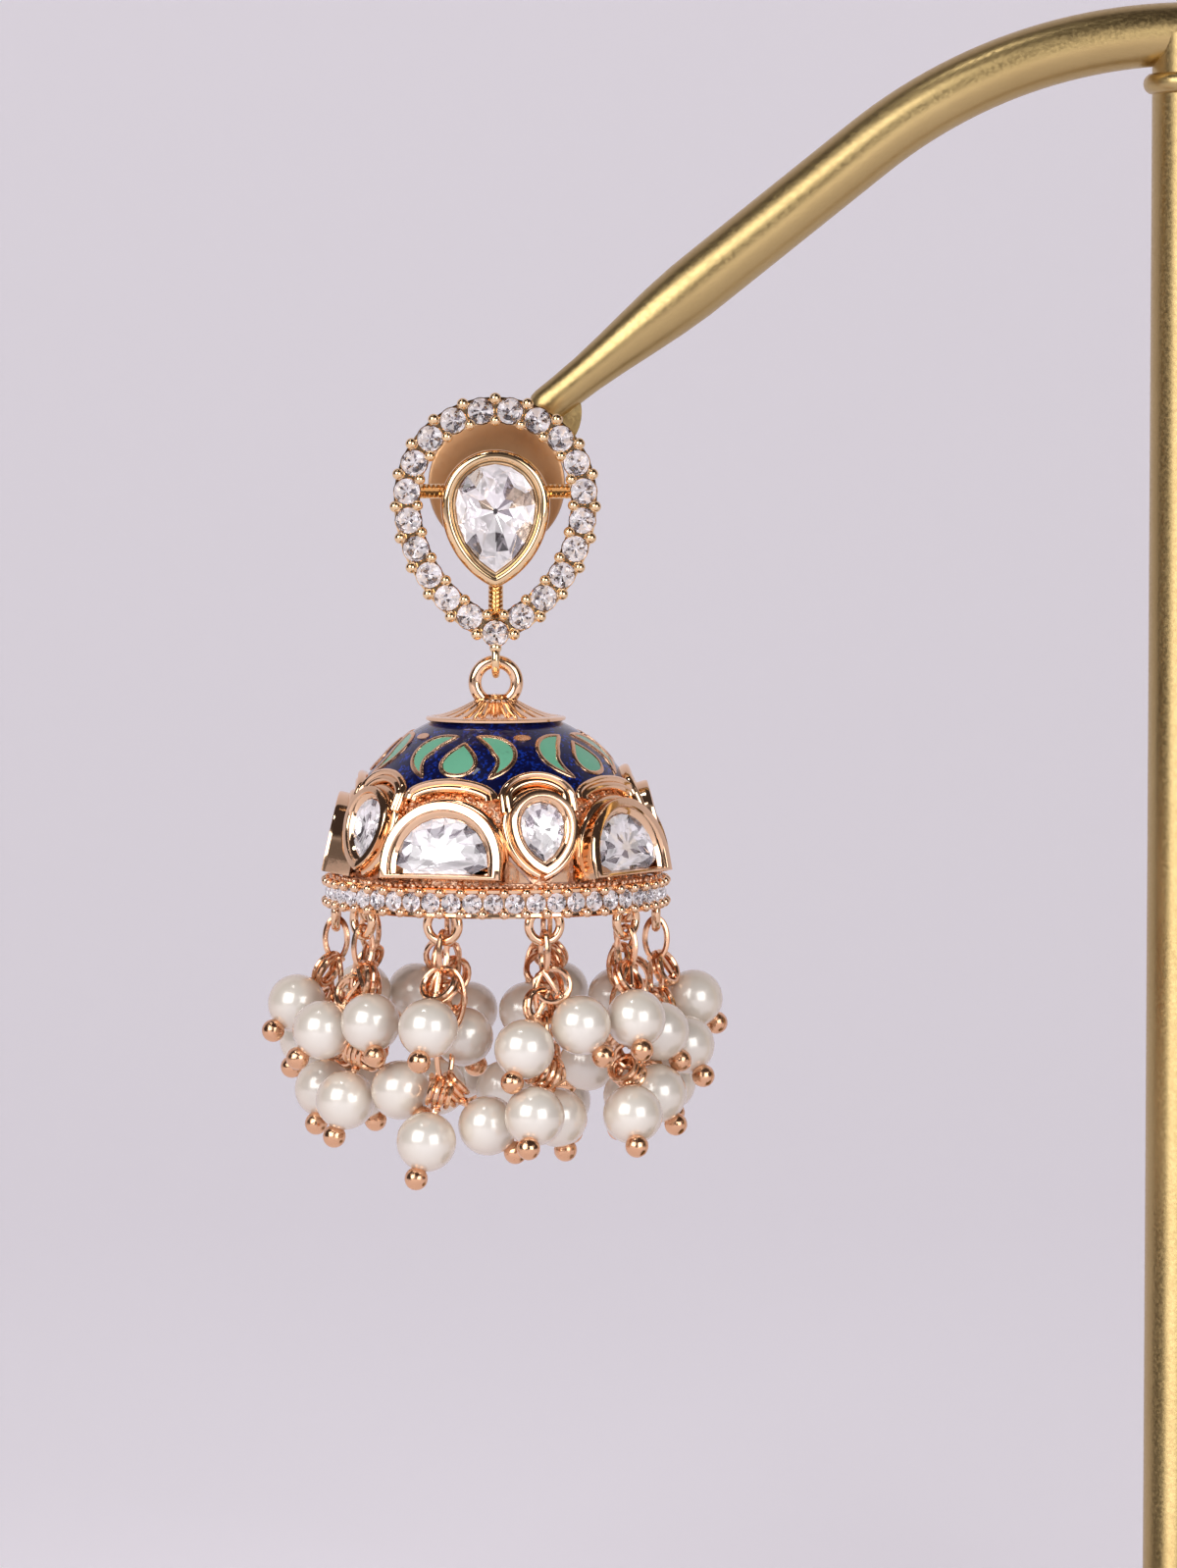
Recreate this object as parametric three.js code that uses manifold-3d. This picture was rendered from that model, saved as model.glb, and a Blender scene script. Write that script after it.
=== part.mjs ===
// Jhumka earring hanging on a plain brass display stand.
// Millimetres, +Z up, the front faces -Y. The origin is under the stand's foot.
import * as THREE from 'three';
import { mergeVertices } from 'three/addons/utils/BufferGeometryUtils.js';
import Module from 'manifold-3d';

const wasm = await Module();
wasm.setup();

// Clearances
const fitGap = 0.12; // round a stone in its bezel and enamel in its recess
const linkGap = 0.15; // between wires that interlock
const holeGap = 0.3; // round the post in the stand's plate
const overlap = 0.1; // by which soldered pieces run into each other

// Halo: the pear-shaped frame of the stud
const haloR = 6.0; // centre line of the round top
const haloSideR = 9.6; // centre line of the side arcs
const haloWidth = 2.0;
const haloDepth = 1.7;
const haloChamfer = 0.25;
const haloStones = 21;
const haloStoneR = 0.84;
const tipStoneDrop = 0.2; // the tip's stone sits this much lower, in the point
const paveRise = 0.4; // a small stone's table above its metal
const paveSink = 0.12; // its foot in the metal
const paveTable = 0.58; // its table's share of its width
const barWidth = 1.0;
const barDepth = 0.9;
const barSink = 0.4; // into the bezel's wall
const barDrop = 0.4; // side bars below the post

// Centre stone of the stud and its bezel
const pearR = 2.7;
const pearSideR = 5.3;
const pearDepth = 1.5;
const pearWall = 1.0;
const pearRim = 1.25; // rim in front of the halo's middle plane
const pearBack = 1.0;
const pearDrop = 0.36; // bezel's round centre below the halo's
const pearCrown = 0.5; // the stone's girdle behind its table

// Post of the stud
const postR = 0.45;
const postLength = 10;
const postRise = 0.9; // above the halo's round centre

// Rims of all bezels
const rimShare = 0.6; // of the wall, where the rounding ends
const rimRound = 0.25;
const rimSlope = 0.4; // depth of the inner chamfer

// Cut stones: shares of the stone's size by which each row lies inside the girdle
const backInset = 0.2;
const crownInset = 0.22;
const tableInset = 0.45;
const crownShare = 0.6; // of the crown's height, where its two rows of facets meet

// Loop at the halo's tip and ring on the bell
const loopR = 1.02;
const loopWireR = 0.28;
const loopSink = 0.35;
const ringR = 1.42;
const ringWireR = 0.45;
const ringSink = 0.78;

// Bell
const domeR = 10.64;
const domeWall = 1.2;
const capSeatR = 4.4; // where the cap's underside would meet the dome
const capRimR = 4.75;
const capTopR = 1.3;
const capHeight = 1.45;
const capLift = 0.05; // underside above the dome at the seat
const capLip = 0.25;
const capFootR = 4.15; // the underside, sunk in the dome
const capSink = 0.2;
const capWaist = 0.52; // the cone's share of the rim's width at half its height
const capFlutes = 24;
const fluteDepth = 0.12;
const repeats = 5; // half-moon and pear settings round the bell
const firstTurn = -18; // a half-moon's angle from the front, in degrees
const enamelDepth = 0.3;
const enamelUnderCap = 0.02; // radians by which the enamel's bed runs under the cap
const borderRise = 0.25; // scalloped border above the enamel
const columns = 40; // points round the dome

// The scalloped line between border and enamel: heights as shares of the dome's radius
const moonArchTop = 0.575;
const dropArchTop = 0.615;
const archFoot = 0.47;
const moonArchHalf = 0.345; // half a wide arch's width, in radians

// Half-moon settings
const moonR = 3.2; // the stone's round top
const moonFoot = 0.55; // the stone's straight sides
const moonWall = 1.1;
const moonFootShare = 0.36; // the lower wall's share of the bezel's
const moonStand = 0.8; // rim above the dome
const moonStoneDepth = 0.95;
const moonCrown = 0.35;

// Pear settings on the bell
const dropR = 1.5;
const dropSideR = 2.85;
const dropWall = 0.85;
const dropStand = 0.75;
const dropStoneDepth = 0.85;
const dropCrown = 0.35;

// Band under the dome
const bandR = 11.67;
const bandHeight = 2.0;
const bandWall = 1.4;
const bandTop = -0.85; // from the dome's centre
const settingRise = 0.42; // half-moons above the band
const dropRise = 0.65; // pears above the band

// The pierced triangles on both sides of a pear's point
const pierceWidth = 1.5;
const pierceHeight = 1.9;
const pierceAside = 0.75; // from the pear's middle line
const pierceRise = 0.35; // above the band
const pierceDepth = 2.5; // inside and outside the dome's wall

// Strands under the band
const dropRingR = 1.09;
const dropRingWireR = 0.31;
const dropRingAt = 0.5; // ring's centre below the band
const strandCount = 10;
const strandR = 10.9; // strands' distance from the bell's axis
const chainWireR = 0.19;
const upperLinkLength = 2.8; // centre lines of the wire
const upperLinkWidth = 1.5;
const chainR = 0.45; // the finer links, as one tube
const chainStep = 0.2; // the unit in which the pins' places down the chain are counted
const pinReach = 4.2; // from the link to the pearl's centre
const pearlR = 2.0;
const ballR = 0.64;
const ballAt = 2.5; // from the pearl's centre
const pearlBand = 42; // degrees of latitude of the pearl's two widest rings
const firstStrand = -162; // degrees from the front

// How each strand's four pearls hang: the pin's top in chain steps below the upper link, and the
// pin's lean in degrees, outwards and to the side. The rows repeat round the bell.
const strandHang = [
  [
    { steps: 0, out: 23, side: 32 },
    { steps: 7, out: 25, side: -29 },
    { steps: 30, out: 36, side: -24 },
    { steps: 30, out: -18, side: 19 },
  ],
  [
    { steps: 0, out: 34, side: -30 },
    { steps: 5, out: 20, side: 33 },
    { steps: 25, out: 19, side: 28 },
    { steps: 32, out: 32, side: -32 },
  ],
  [
    { steps: 0, out: 42, side: 29 },
    { steps: 12, out: 31, side: -27 },
    { steps: 25, out: 12, side: 27 },
    { steps: 28, out: -24, side: -23 },
  ],
  [
    { steps: 0, out: 15, side: 33 },
    { steps: 5, out: 35, side: -27 },
    { steps: 24.5, out: 14, side: -10 },
    { steps: 26, out: -20, side: 46 },
  ],
  [
    { steps: 0, out: 36, side: -3 },
    { steps: 5, out: -35, side: 10 },
    { steps: 36, out: -17, side: 44 },
    { steps: 36, out: 20, side: -10 },
  ],
];

// Stand
const standReach = 47.5; // from the upright to the post
const postHeight = 86;
const crestRise = 30.7; // arm's crest above the post
const armSlope = 38.65; // degrees
const armR = 2.15;
const armTipR = 1.3;
const armTaper = 12;
const armTipOut = 4.5;
const armTipUp = 6.2;
const armEnd = 3.0; // beyond the upright
const armNose = 0.5; // rounding of that end
const noseShare = 0.7; // of the arm's radius, left by the rounding
const paddleR = 4.7;
const paddleNeckR = 1.3;
const paddleDepth = 1.2;
const paddleGap = 3.0; // behind the bezel
const uprightR = 2.7;
const collarR = 3.3;
const collarHeight = 1.4;
const collarDrop = 3.4; // collar's middle below the crest
const baseR = 24;
const baseHeight = 5;
const baseChamfer = 0.8;

const sceneRoot = new THREE.Group();
const radians = THREE.MathUtils.degToRad;

// Materials
const goldMaterial = new THREE.MeshStandardMaterial({ color: 0xe8c08a, roughness: 0.18, metalness: 1 });
const roseMaterial = new THREE.MeshStandardMaterial({ color: 0xce936f, roughness: 0.28, metalness: 1 });
const brassMaterial = new THREE.MeshStandardMaterial({ color: 0xb08d4f, roughness: 0.38, metalness: 1 });
const crystalMaterial = new THREE.MeshStandardMaterial({ color: 0xf2eff2, roughness: 0.05, metalness: 0 });
const enamelMaterial = new THREE.MeshStandardMaterial({ color: 0x101a5e, roughness: 0.12, metalness: 0 });

// A geometry as a solid for joins and cuts, its faces turned outwards.
function solid(geometry) {
  const bare = geometry.clone();
  bare.deleteAttribute('normal');
  bare.deleteAttribute('uv');
  const merged = mergeVertices(bare, 1e-5);
  const corners = merged.index.array;
  const triVerts = [];
  for (let i = 0; i < corners.length; i += 3) {
    const [a, b, c] = [corners[i], corners[i + 1], corners[i + 2]];
    if (a !== b && b !== c && c !== a) {
      triVerts.push(a, b, c);
    }
  }
  const vertProperties = Float32Array.from(merged.attributes.position.array);
  let volume = 0;
  const corner = (n) => new THREE.Vector3().fromArray(vertProperties, 3 * n);
  for (let i = 0; i < triVerts.length; i += 3) {
    volume += corner(triVerts[i]).dot(corner(triVerts[i + 1]).cross(corner(triVerts[i + 2])));
  }
  if (volume < 0) {
    triVerts.reverse();
  }
  const faces = Uint32Array.from(triVerts);
  return new wasm.Manifold(new wasm.Mesh({ numProp: 3, vertProperties, triVerts: faces }));
}

function joined(solids) {
  return solids.reduce((whole, next) => whole.add(next));
}

function mesh(name, whole, material) {
  const { vertProperties, triVerts } = whole.getMesh();
  const geometry = new THREE.BufferGeometry();
  geometry.setAttribute('position', new THREE.BufferAttribute(Float32Array.from(vertProperties), 3));
  geometry.setIndex(new THREE.BufferAttribute(Uint32Array.from(triVerts), 1));
  geometry.computeVertexNormals();
  const made = new THREE.Mesh(geometry, material);
  made.name = name;
  return made;
}

// The triangles between two rings of a surface, each given by its number.
function between(count, from, to) {
  const index = [];
  for (let j = 0; j < count; j++) {
    const next = (j + 1) % count;
    const [a, b, c, d] = [from * count + j, from * count + next, to * count + j, to * count + next];
    index.push(a, b, d, a, d, c);
  }
  return index;
}

function surface(rings, index) {
  const geometry = new THREE.BufferGeometry();
  const position = rings.flat().flatMap((p) => [p.x, p.y, p.z]);
  geometry.setAttribute('position', new THREE.Float32BufferAttribute(position, 3));
  geometry.setIndex(index);
  return geometry;
}

// A closed surface through rings of points, capped at both ends.
function loft(rings) {
  const count = rings[0].length;
  const last = rings.length - 1;
  const index = rings.slice(1).flatMap((ring, i) => between(count, i, i + 1));
  const capped = (ring, start, backwards) => {
    const flat = ring.map((p) => p.flat ?? new THREE.Vector2(p.x, p.z));
    for (const [a, b, c] of THREE.ShapeUtils.triangulateShape(flat, [])) {
      const corners = backwards ? [c, b, a] : [a, b, c];
      index.push(...corners.map((n) => start + n));
    }
  };
  capped(rings[0], 0, true);
  capped(rings[last], last * count, false);
  return surface(rings, index);
}

// The point of an arc whose centre lies at x.
function onArc(x, radius, angle) {
  return new THREE.Vector2(x + radius * Math.cos(angle), radius * Math.sin(angle));
}

// The pear outline at an offset: a round top and two side arcs that meet in a point below.
function pearOutline(topR, sideR, offset, steps) {
  const centre = sideR - topR;
  const sweep = Math.acos(centre / (sideR + offset));
  const points = [];
  for (let i = 0; i < 2 * steps; i++) {
    const angle = (Math.PI * i) / (2 * steps);
    points.push(onArc(0, topR + offset, angle));
  }
  for (let i = 0; i < steps; i++) {
    const angle = Math.PI + (sweep * i) / steps;
    points.push(onArc(centre, sideR + offset, angle));
  }
  for (let i = 0; i < steps; i++) {
    const angle = -sweep + (sweep * i) / steps;
    points.push(onArc(-centre, sideR + offset, angle));
  }
  return points;
}

// The half-moon outline at an offset: a half circle on short straight sides.
function moonOutline(offset, steps) {
  const foot = moonFoot + moonFootShare * offset;
  const points = [];
  for (let i = 0; i <= steps; i++) {
    const angle = (Math.PI * i) / steps;
    points.push(onArc(0, moonR + offset, angle));
  }
  points.push(new THREE.Vector2(-(moonR + offset), -foot), new THREE.Vector2(moonR + offset, -foot));
  return points;
}

// A solid of rows, each an offset of the outline and its place in depth, from the back to the front.
function layered(outline, layers) {
  return loft(layers.map(([offset, y]) => outline(offset).map((p) => new THREE.Vector3(p.x, y, p.y))));
}

// A bezel's block, its rim rounded off, and the pocket that takes a stone of the outline's own size.
function bezelBlock(outline, wall, back, rim) {
  return layered(outline, [
    [wall, back],
    [wall, rim + rimRound],
    [rimShare * wall, rim],
  ]);
}

function bezelPocket(outline, wall, rim, depth) {
  const slope = (rimShare * wall - fitGap) / rimSlope;
  return layered(outline, [
    [fitGap, rim + depth],
    [fitGap, rim + rimSlope],
    [fitGap + 2 * slope * rimSlope, rim - rimSlope],
  ]);
}

// A cut stone with a flat back, a girdle, two rows of crown facets and a table.
function cutStone(outline, size, crown, table, depth) {
  const girdle = table + crown;
  return layered(outline, [
    [-backInset * size, table + depth],
    [0, girdle],
    [-crownInset * size, girdle - crownShare * crown],
    [-tableInset * size, table],
  ]);
}

function wireRing(radius, wireR, sides, wireSides = 6) {
  return new THREE.TorusGeometry(radius, wireR, wireSides, sides);
}

// A small round stone: eight crown facets and a table, its foot sunk in the metal.
function paveStone(radius, rise) {
  const stone = new THREE.CylinderGeometry(paveTable * radius, radius, rise + paveSink, 8);
  stone.translate(0, (rise - paveSink) / 2, 0);
  return stone;
}

// Stud: halo, small stones, bars, bezel, loop and post, soldered into one
const haloTip = -Math.sqrt((haloSideR + haloWidth / 2) ** 2 - (haloSideR - haloR) ** 2);
const loopZ = haloTip + loopSink - loopR - loopWireR;
const hingeZ = loopZ - loopR;

// The point at a share of the way round the halo's centre line, from the tip.
function haloPoint(share) {
  const sweep = Math.acos((haloSideR - haloR) / haloSideR);
  const sideLength = haloSideR * sweep;
  const length = 2 * sideLength + Math.PI * haloR;
  const along = share * length;
  if (along < sideLength) {
    const angle = -sweep + along / haloSideR;
    return onArc(haloR - haloSideR, haloSideR, angle);
  }
  if (along < length - sideLength) {
    const angle = (along - sideLength) / haloR;
    return onArc(0, haloR, angle);
  }
  const angle = Math.PI + (along - length + sideLength) / haloSideR;
  return onArc(haloSideR - haloR, haloSideR, angle);
}

function haloFrame() {
  const outline = (offset) => pearOutline(haloR, haloSideR, offset, 8);
  const half = haloWidth / 2;
  const outer = layered(outline, [
    [half - haloChamfer, haloDepth / 2],
    [half, haloDepth / 2 - haloChamfer],
    [half, -haloDepth / 2],
  ]);
  const inner = layered(outline, [
    [-half, haloDepth],
    [-half, -haloDepth],
  ]);
  return solid(outer).subtract(solid(inner));
}

function haloPave() {
  const stones = [];
  for (let i = 0; i < haloStones; i++) {
    const at = haloPoint(i / haloStones);
    const drop = i === 0 ? tipStoneDrop : 0;
    const stone = paveStone(haloStoneR, paveRise);
    stone.rotateX(-Math.PI / 2);
    stone.translate(at.x, -haloDepth / 2, at.y - drop);
    stones.push(solid(stone));
  }
  return stones;
}

function bar(fromX, fromZ, toX, toZ) {
  const length = Math.hypot(toX - fromX, toZ - fromZ);
  const made = new THREE.BoxGeometry(length, barDepth, barWidth);
  made.rotateY(-Math.atan2(toZ - fromZ, toX - fromX));
  made.translate((fromX + toX) / 2, 0, (fromZ + toZ) / 2);
  return solid(made);
}

function studMetal() {
  const outline = (offset) => pearOutline(pearR, pearSideR, offset, 7);
  const block = bezelBlock(outline, pearWall, pearBack, -pearRim);
  const pocket = bezelPocket(outline, pearWall, -pearRim, pearDepth);
  const bezel = solid(block).subtract(solid(pocket)).translate(0, 0, -pearDrop);
  const bezelTip = -pearDrop - Math.sqrt((pearSideR + pearWall) ** 2 - (pearSideR - pearR) ** 2);
  const barFrom = pearR + pearWall - barSink;
  const barZ = postRise - barDrop;
  const bars = [
    bar(barFrom, barZ, haloR, barZ),
    bar(-haloR, barZ, -barFrom, barZ),
    bar(0, haloTip + haloWidth - overlap, 0, bezelTip + barSink),
  ];
  const loop = wireRing(loopR, loopWireR, 14);
  loop.rotateY(Math.PI / 2);
  loop.translate(0, 0, loopZ);
  const post = new THREE.CylinderGeometry(postR, postR, postLength, 10);
  post.translate(0, pearBack + postLength / 2 - overlap, postRise);
  return joined([haloFrame(), ...haloPave(), bezel, ...bars, solid(loop), solid(post)]);
}

function pearStone() {
  const outline = (offset) => pearOutline(pearR, pearSideR, offset, 4);
  const stone = cutStone(outline, pearR, pearCrown, -pearRim, pearDepth - fitGap);
  stone.translate(0, 0, -pearDrop);
  return solid(stone);
}

// Bell, about the dome's centre
const capRimZ = Math.sqrt(domeR ** 2 - capSeatR ** 2) + capLift;
const capTop = capRimZ + capHeight;
const ringZ = capTop + ringR + ringWireR - ringSink;
const bellHinge = ringZ + ringR - ringWireR - linkGap - loopWireR;
const bandBottom = bandTop - bandHeight;
const dropRingZ = bandBottom - dropRingAt;

function spherePoint(radius, turn, z) {
  const r = Math.sqrt(Math.max(radius ** 2 - z ** 2, 0));
  return new THREE.Vector3(r * Math.sin(turn), -r * Math.cos(turn), z);
}

// Where the settings sit: each face touches the dome's sphere at the outline's middle.
const moonTopZ = moonR + moonWall;
const moonFootZ = -(moonFoot + moonFootShare * moonWall);
const moonShift = -(moonTopZ + moonFootZ) / 2;
const moonTilt = Math.asin((bandTop + settingRise + (moonTopZ - moonFootZ) / 2) / domeR);
const dropTopZ = dropR + dropWall;
const dropTipZ = -Math.sqrt((dropSideR + dropWall) ** 2 - (dropSideR - dropR) ** 2);
const dropShift = -(dropTopZ + dropTipZ) / 2;
const dropTilt = Math.asin((bandTop + dropRise + (dropTopZ - dropTipZ) / 2) / domeR);

// The scalloped line over the settings: a wide arch over each half-moon, a narrow one over each pear.
function scallop(turn) {
  const step = (2 * Math.PI) / repeats;
  const steps = (turn - radians(firstTurn)) / step;
  const fromMoon = Math.abs(steps - Math.round(steps)) * step;
  const arch = (top, away, half) => {
    const share = Math.sqrt(Math.max(1 - (away / half) ** 2, 0));
    return domeR * (archFoot + (top - archFoot) * share);
  };
  return fromMoon < moonArchHalf
    ? arch(moonArchTop, fromMoon, moonArchHalf)
    : arch(dropArchTop, step / 2 - fromMoon, step / 2 - moonArchHalf);
}

function turnRing(point) {
  const ring = [];
  for (let i = 0; i < columns; i++) {
    const turn = radians(firstTurn) + (2 * Math.PI * i) / columns;
    const p = point(turn);
    p.flat = new THREE.Vector2(p.x, p.y);
    ring.push(p);
  }
  return ring;
}

// A row of points on a sphere, a share of the way from the scalloped line up to the cap's rim.
function enamelRow(radius, share, above) {
  const top = Math.acos(capRimZ / domeR) - enamelUnderCap;
  return turnRing((turn) => {
    const low = Math.acos((scallop(turn) + above) / domeR);
    const polar = low + (top - low) * share;
    return spherePoint(radius, turn, radius * Math.cos(polar));
  });
}

const enamelShares = [0, 0.5, 1];
const enamelEnd = 0.9; // the share at which the enamel itself stops, short of the cap

function flatRing(radius, z) {
  return turnRing((turn) => new THREE.Vector3(radius * Math.sin(turn), -radius * Math.cos(turn), z));
}

const sphereRing = (radius, share) => flatRing(radius * Math.sqrt(1 - share ** 2), radius * share);

// The dome with the band under it: down the outside, across the band's foot and up the inside.
function shell() {
  const bed = domeR - enamelDepth;
  const proud = domeR + borderRise;
  const inner = domeR - domeWall;
  const wallShares = [0.02, 0.5, 0.8, 0.94]; // heights of the inner wall's rings
  return loft([
    ...enamelShares.map((share) => enamelRow(bed, 1 - share, 0)),
    enamelRow(proud, 0, 0),
    sphereRing(proud, 0.24),
    flatRing(proud, bandTop),
    flatRing(bandR, bandTop),
    flatRing(bandR, bandBottom),
    flatRing(bandR - bandWall, bandBottom),
    flatRing(bandR - bandWall, bandTop - 2 * overlap),
    ...wallShares.map((share) => sphereRing(inner, share)),
  ]);
}

// The enamel: a ring-shaped skin, so its last row joins its first.
function enamelSkin() {
  const bed = domeR - enamelDepth + fitGap;
  const edge = 1.4 * fitGap;
  const shares = enamelShares.map((share) => Math.min(share, enamelEnd));
  const outside = shares.map((share) => enamelRow(domeR, share, edge));
  const inside = shares.map((share) => enamelRow(bed, share, edge)).reverse();
  const rings = [...outside, ...inside];
  const index = rings.flatMap((ring, i) => between(columns, i, (i + 1) % rings.length));
  return solid(surface(rings, index));
}

// The fluted cap: a cone whose rim is scalloped by its flutes.
function fluteRing(radius, z, depth) {
  const ring = [];
  for (let i = 0; i < 2 * capFlutes; i++) {
    const turn = (Math.PI * i) / capFlutes;
    const r = radius * (i % 2 ? 1 - depth : 1);
    const p = new THREE.Vector3(r * Math.cos(turn), r * Math.sin(turn), z);
    p.flat = new THREE.Vector2(p.x, p.y);
    ring.push(p);
  }
  return ring;
}

function cap() {
  return loft([
    fluteRing(capFootR, capRimZ - capSink, 0),
    fluteRing(capRimR, capRimZ + capLip, 0),
    fluteRing(capWaist * capRimR, capRimZ + capHeight / 2, fluteDepth),
    fluteRing(capTopR, capTop, fluteDepth),
  ]);
}

// A frame on the dome: x to the right, y into the bell, z up along the wall.
function onDome(turn, tilt, radius) {
  const frame = new THREE.Object3D();
  frame.rotation.order = 'ZXY';
  frame.rotation.set(-tilt, 0, turn);
  frame.updateMatrix();
  const outwards = new THREE.Vector3(0, -1, 0).applyQuaternion(frame.quaternion);
  frame.position.copy(outwards.multiplyScalar(radius));
  frame.updateMatrix();
  return frame.matrix;
}

const moonOnDome = (turn) => onDome(turn, moonTilt, domeR + moonStand);
const dropOnDome = (turn) => onDome(turn, dropTilt, domeR + dropStand);
const moonTurn = (i) => radians(firstTurn) + (2 * Math.PI * i) / repeats;
const dropTurn = (i) => moonTurn(i) + Math.PI / repeats;

// The block and pocket of a bezel on the dome.
function moonBezel(turn) {
  const outline = (offset) => moonOutline(offset, 8);
  const block = bezelBlock(outline, moonWall, moonStand + domeWall - overlap, 0);
  const pocket = bezelPocket(outline, moonWall, 0, moonStoneDepth);
  return [block, pocket].map((made) => solid(made.translate(0, 0, moonShift).applyMatrix4(moonOnDome(turn))));
}

function dropBezel(turn) {
  const outline = (offset) => pearOutline(dropR, dropSideR, offset, 3);
  const block = bezelBlock(outline, dropWall, dropStand + domeWall - overlap, 0);
  const pocket = bezelPocket(outline, dropWall, 0, dropStoneDepth);
  return [block, pocket].map((made) => solid(made.translate(0, 0, dropShift).applyMatrix4(dropOnDome(turn))));
}

// The pierced triangle between a pear's point and a half-moon's corner.
function piercing(turn, side) {
  const shape = new THREE.Shape([
    new THREE.Vector2(0, 0),
    new THREE.Vector2(side * pierceWidth, 0),
    new THREE.Vector2(side * pierceWidth, pierceHeight),
  ]);
  const made = new THREE.ExtrudeGeometry(shape, { depth: 2 * pierceDepth, bevelEnabled: false });
  made.rotateX(Math.PI / 2);
  made.translate(side * pierceAside, -domeR + pierceDepth, bandTop + pierceRise);
  made.rotateZ(turn);
  return solid(made);
}

function dropRing(turn) {
  const ring = wireRing(dropRingR, dropRingWireR, 10, 5);
  ring.rotateX(Math.PI / 2);
  ring.translate(0, -strandR, dropRingZ);
  ring.rotateZ(turn);
  return solid(ring);
}

const strandTurn = (i) => radians(firstStrand) + (2 * Math.PI * i) / strandCount;

function bellMetal() {
  const ring = wireRing(ringR, ringWireR, 12);
  ring.rotateX(Math.PI / 2);
  ring.translate(0, 0, ringZ);
  let whole = joined([solid(shell()), solid(cap()), solid(ring)]);
  for (let i = 0; i < repeats; i++) {
    const [moonBlock, moonPocket] = moonBezel(moonTurn(i));
    const [dropBlock, dropPocket] = dropBezel(dropTurn(i));
    whole = joined([whole, moonBlock, dropBlock]).subtract(joined([moonPocket, dropPocket]));
  }
  for (let i = 0; i < repeats; i++) {
    whole = whole.subtract(piercing(dropTurn(i), 1)).subtract(piercing(dropTurn(i), -1));
  }
  for (let i = 0; i < strandCount; i++) {
    whole = whole.add(dropRing(strandTurn(i)));
  }
  return whole;
}

function moonStone(turn) {
  const outline = (offset) => moonOutline(offset, 8);
  const stone = cutStone(outline, moonR, moonCrown, 0, moonStoneDepth - fitGap);
  stone.translate(0, 0, moonShift);
  return solid(stone.applyMatrix4(moonOnDome(turn)));
}

function dropStone(turn) {
  const outline = (offset) => pearOutline(dropR, dropSideR, offset, 2);
  const stone = cutStone(outline, dropR, dropCrown, 0, dropStoneDepth - fitGap);
  stone.translate(0, 0, dropShift);
  return solid(stone.applyMatrix4(dropOnDome(turn)));
}

// An oval link in the XZ plane, hanging from its top's centre line.
function ovalLink(length, width, top) {
  const link = new THREE.TorusGeometry(length / 2, chainWireR, 5, 10);
  const position = link.attributes.position;
  const half = (length - width) / 2;
  for (let i = 0; i < position.count; i++) {
    const [x, y] = [position.getX(i), position.getY(i)];
    const r = Math.hypot(x, y);
    const angle = Math.atan2(y, x);
    const fromMiddle = r - length / 2;
    const cornerR = width / 2 + fromMiddle;
    const end = Math.sign(Math.round(1e4 * Math.sin(angle)));
    position.setXY(i, cornerR * Math.cos(angle), cornerR * Math.sin(angle) + end * half);
  }
  link.rotateX(Math.PI / 2);
  link.translate(0, 0, top - length / 2);
  return link;
}

// A pearl on its headpin: wire from the link, and the pearl with the pin's ball end under it.
function pearlPin(out, side, top) {
  const wireLength = pinReach - pearlR + 2 * overlap;
  const wire = new THREE.CylinderGeometry(chainWireR, chainWireR, wireLength, 5);
  wire.translate(0, -wireLength / 2, 0);
  const profile = [[0, pearlR - pinReach]];
  for (const latitude of [pearlBand, 0, -pearlBand]) {
    const angle = radians(latitude);
    profile.push([pearlR * Math.cos(angle), pearlR * Math.sin(angle) - pinReach]);
  }
  const ballZ = -pinReach - ballAt;
  profile.push([ballR, ballZ], [0, ballZ - ballR]);
  const bead = new THREE.LatheGeometry(profile.reverse().map(([r, y]) => new THREE.Vector2(r, y)), 10);
  const lean = new THREE.Vector3(Math.tan(radians(side)), -Math.tan(radians(out)), -1).normalize();
  const swing = new THREE.Quaternion().setFromUnitVectors(new THREE.Vector3(0, -1, 0), lean);
  return [wire, bead].map((piece) => {
    piece.applyQuaternion(swing);
    piece.translate(0, 0, top);
    return solid(piece);
  });
}

const upperLinkTop = dropRingZ - dropRingR + dropRingWireR + chainWireR + linkGap;

function pearlStrand(i) {
  const hang = strandHang[i % strandHang.length];
  const upperFoot = upperLinkTop - upperLinkLength;
  const length = chainStep * hang.at(-1).steps;
  const upper = ovalLink(upperLinkLength, upperLinkWidth, upperLinkTop);
  upper.rotateZ(Math.PI / 2);
  const chain = new THREE.CylinderGeometry(chainR, chainR, length, 6);
  chain.rotateX(Math.PI / 2);
  chain.translate(0, 0, upperFoot - length / 2);
  return joined([
    solid(upper),
    solid(chain),
    ...hang.flatMap(({ steps, out, side }) => pearlPin(out, side, upperFoot - chainStep * steps)),
  ]);
}

// Stand, about the foot of its upright
const crestZ = postHeight + crestRise;

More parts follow.
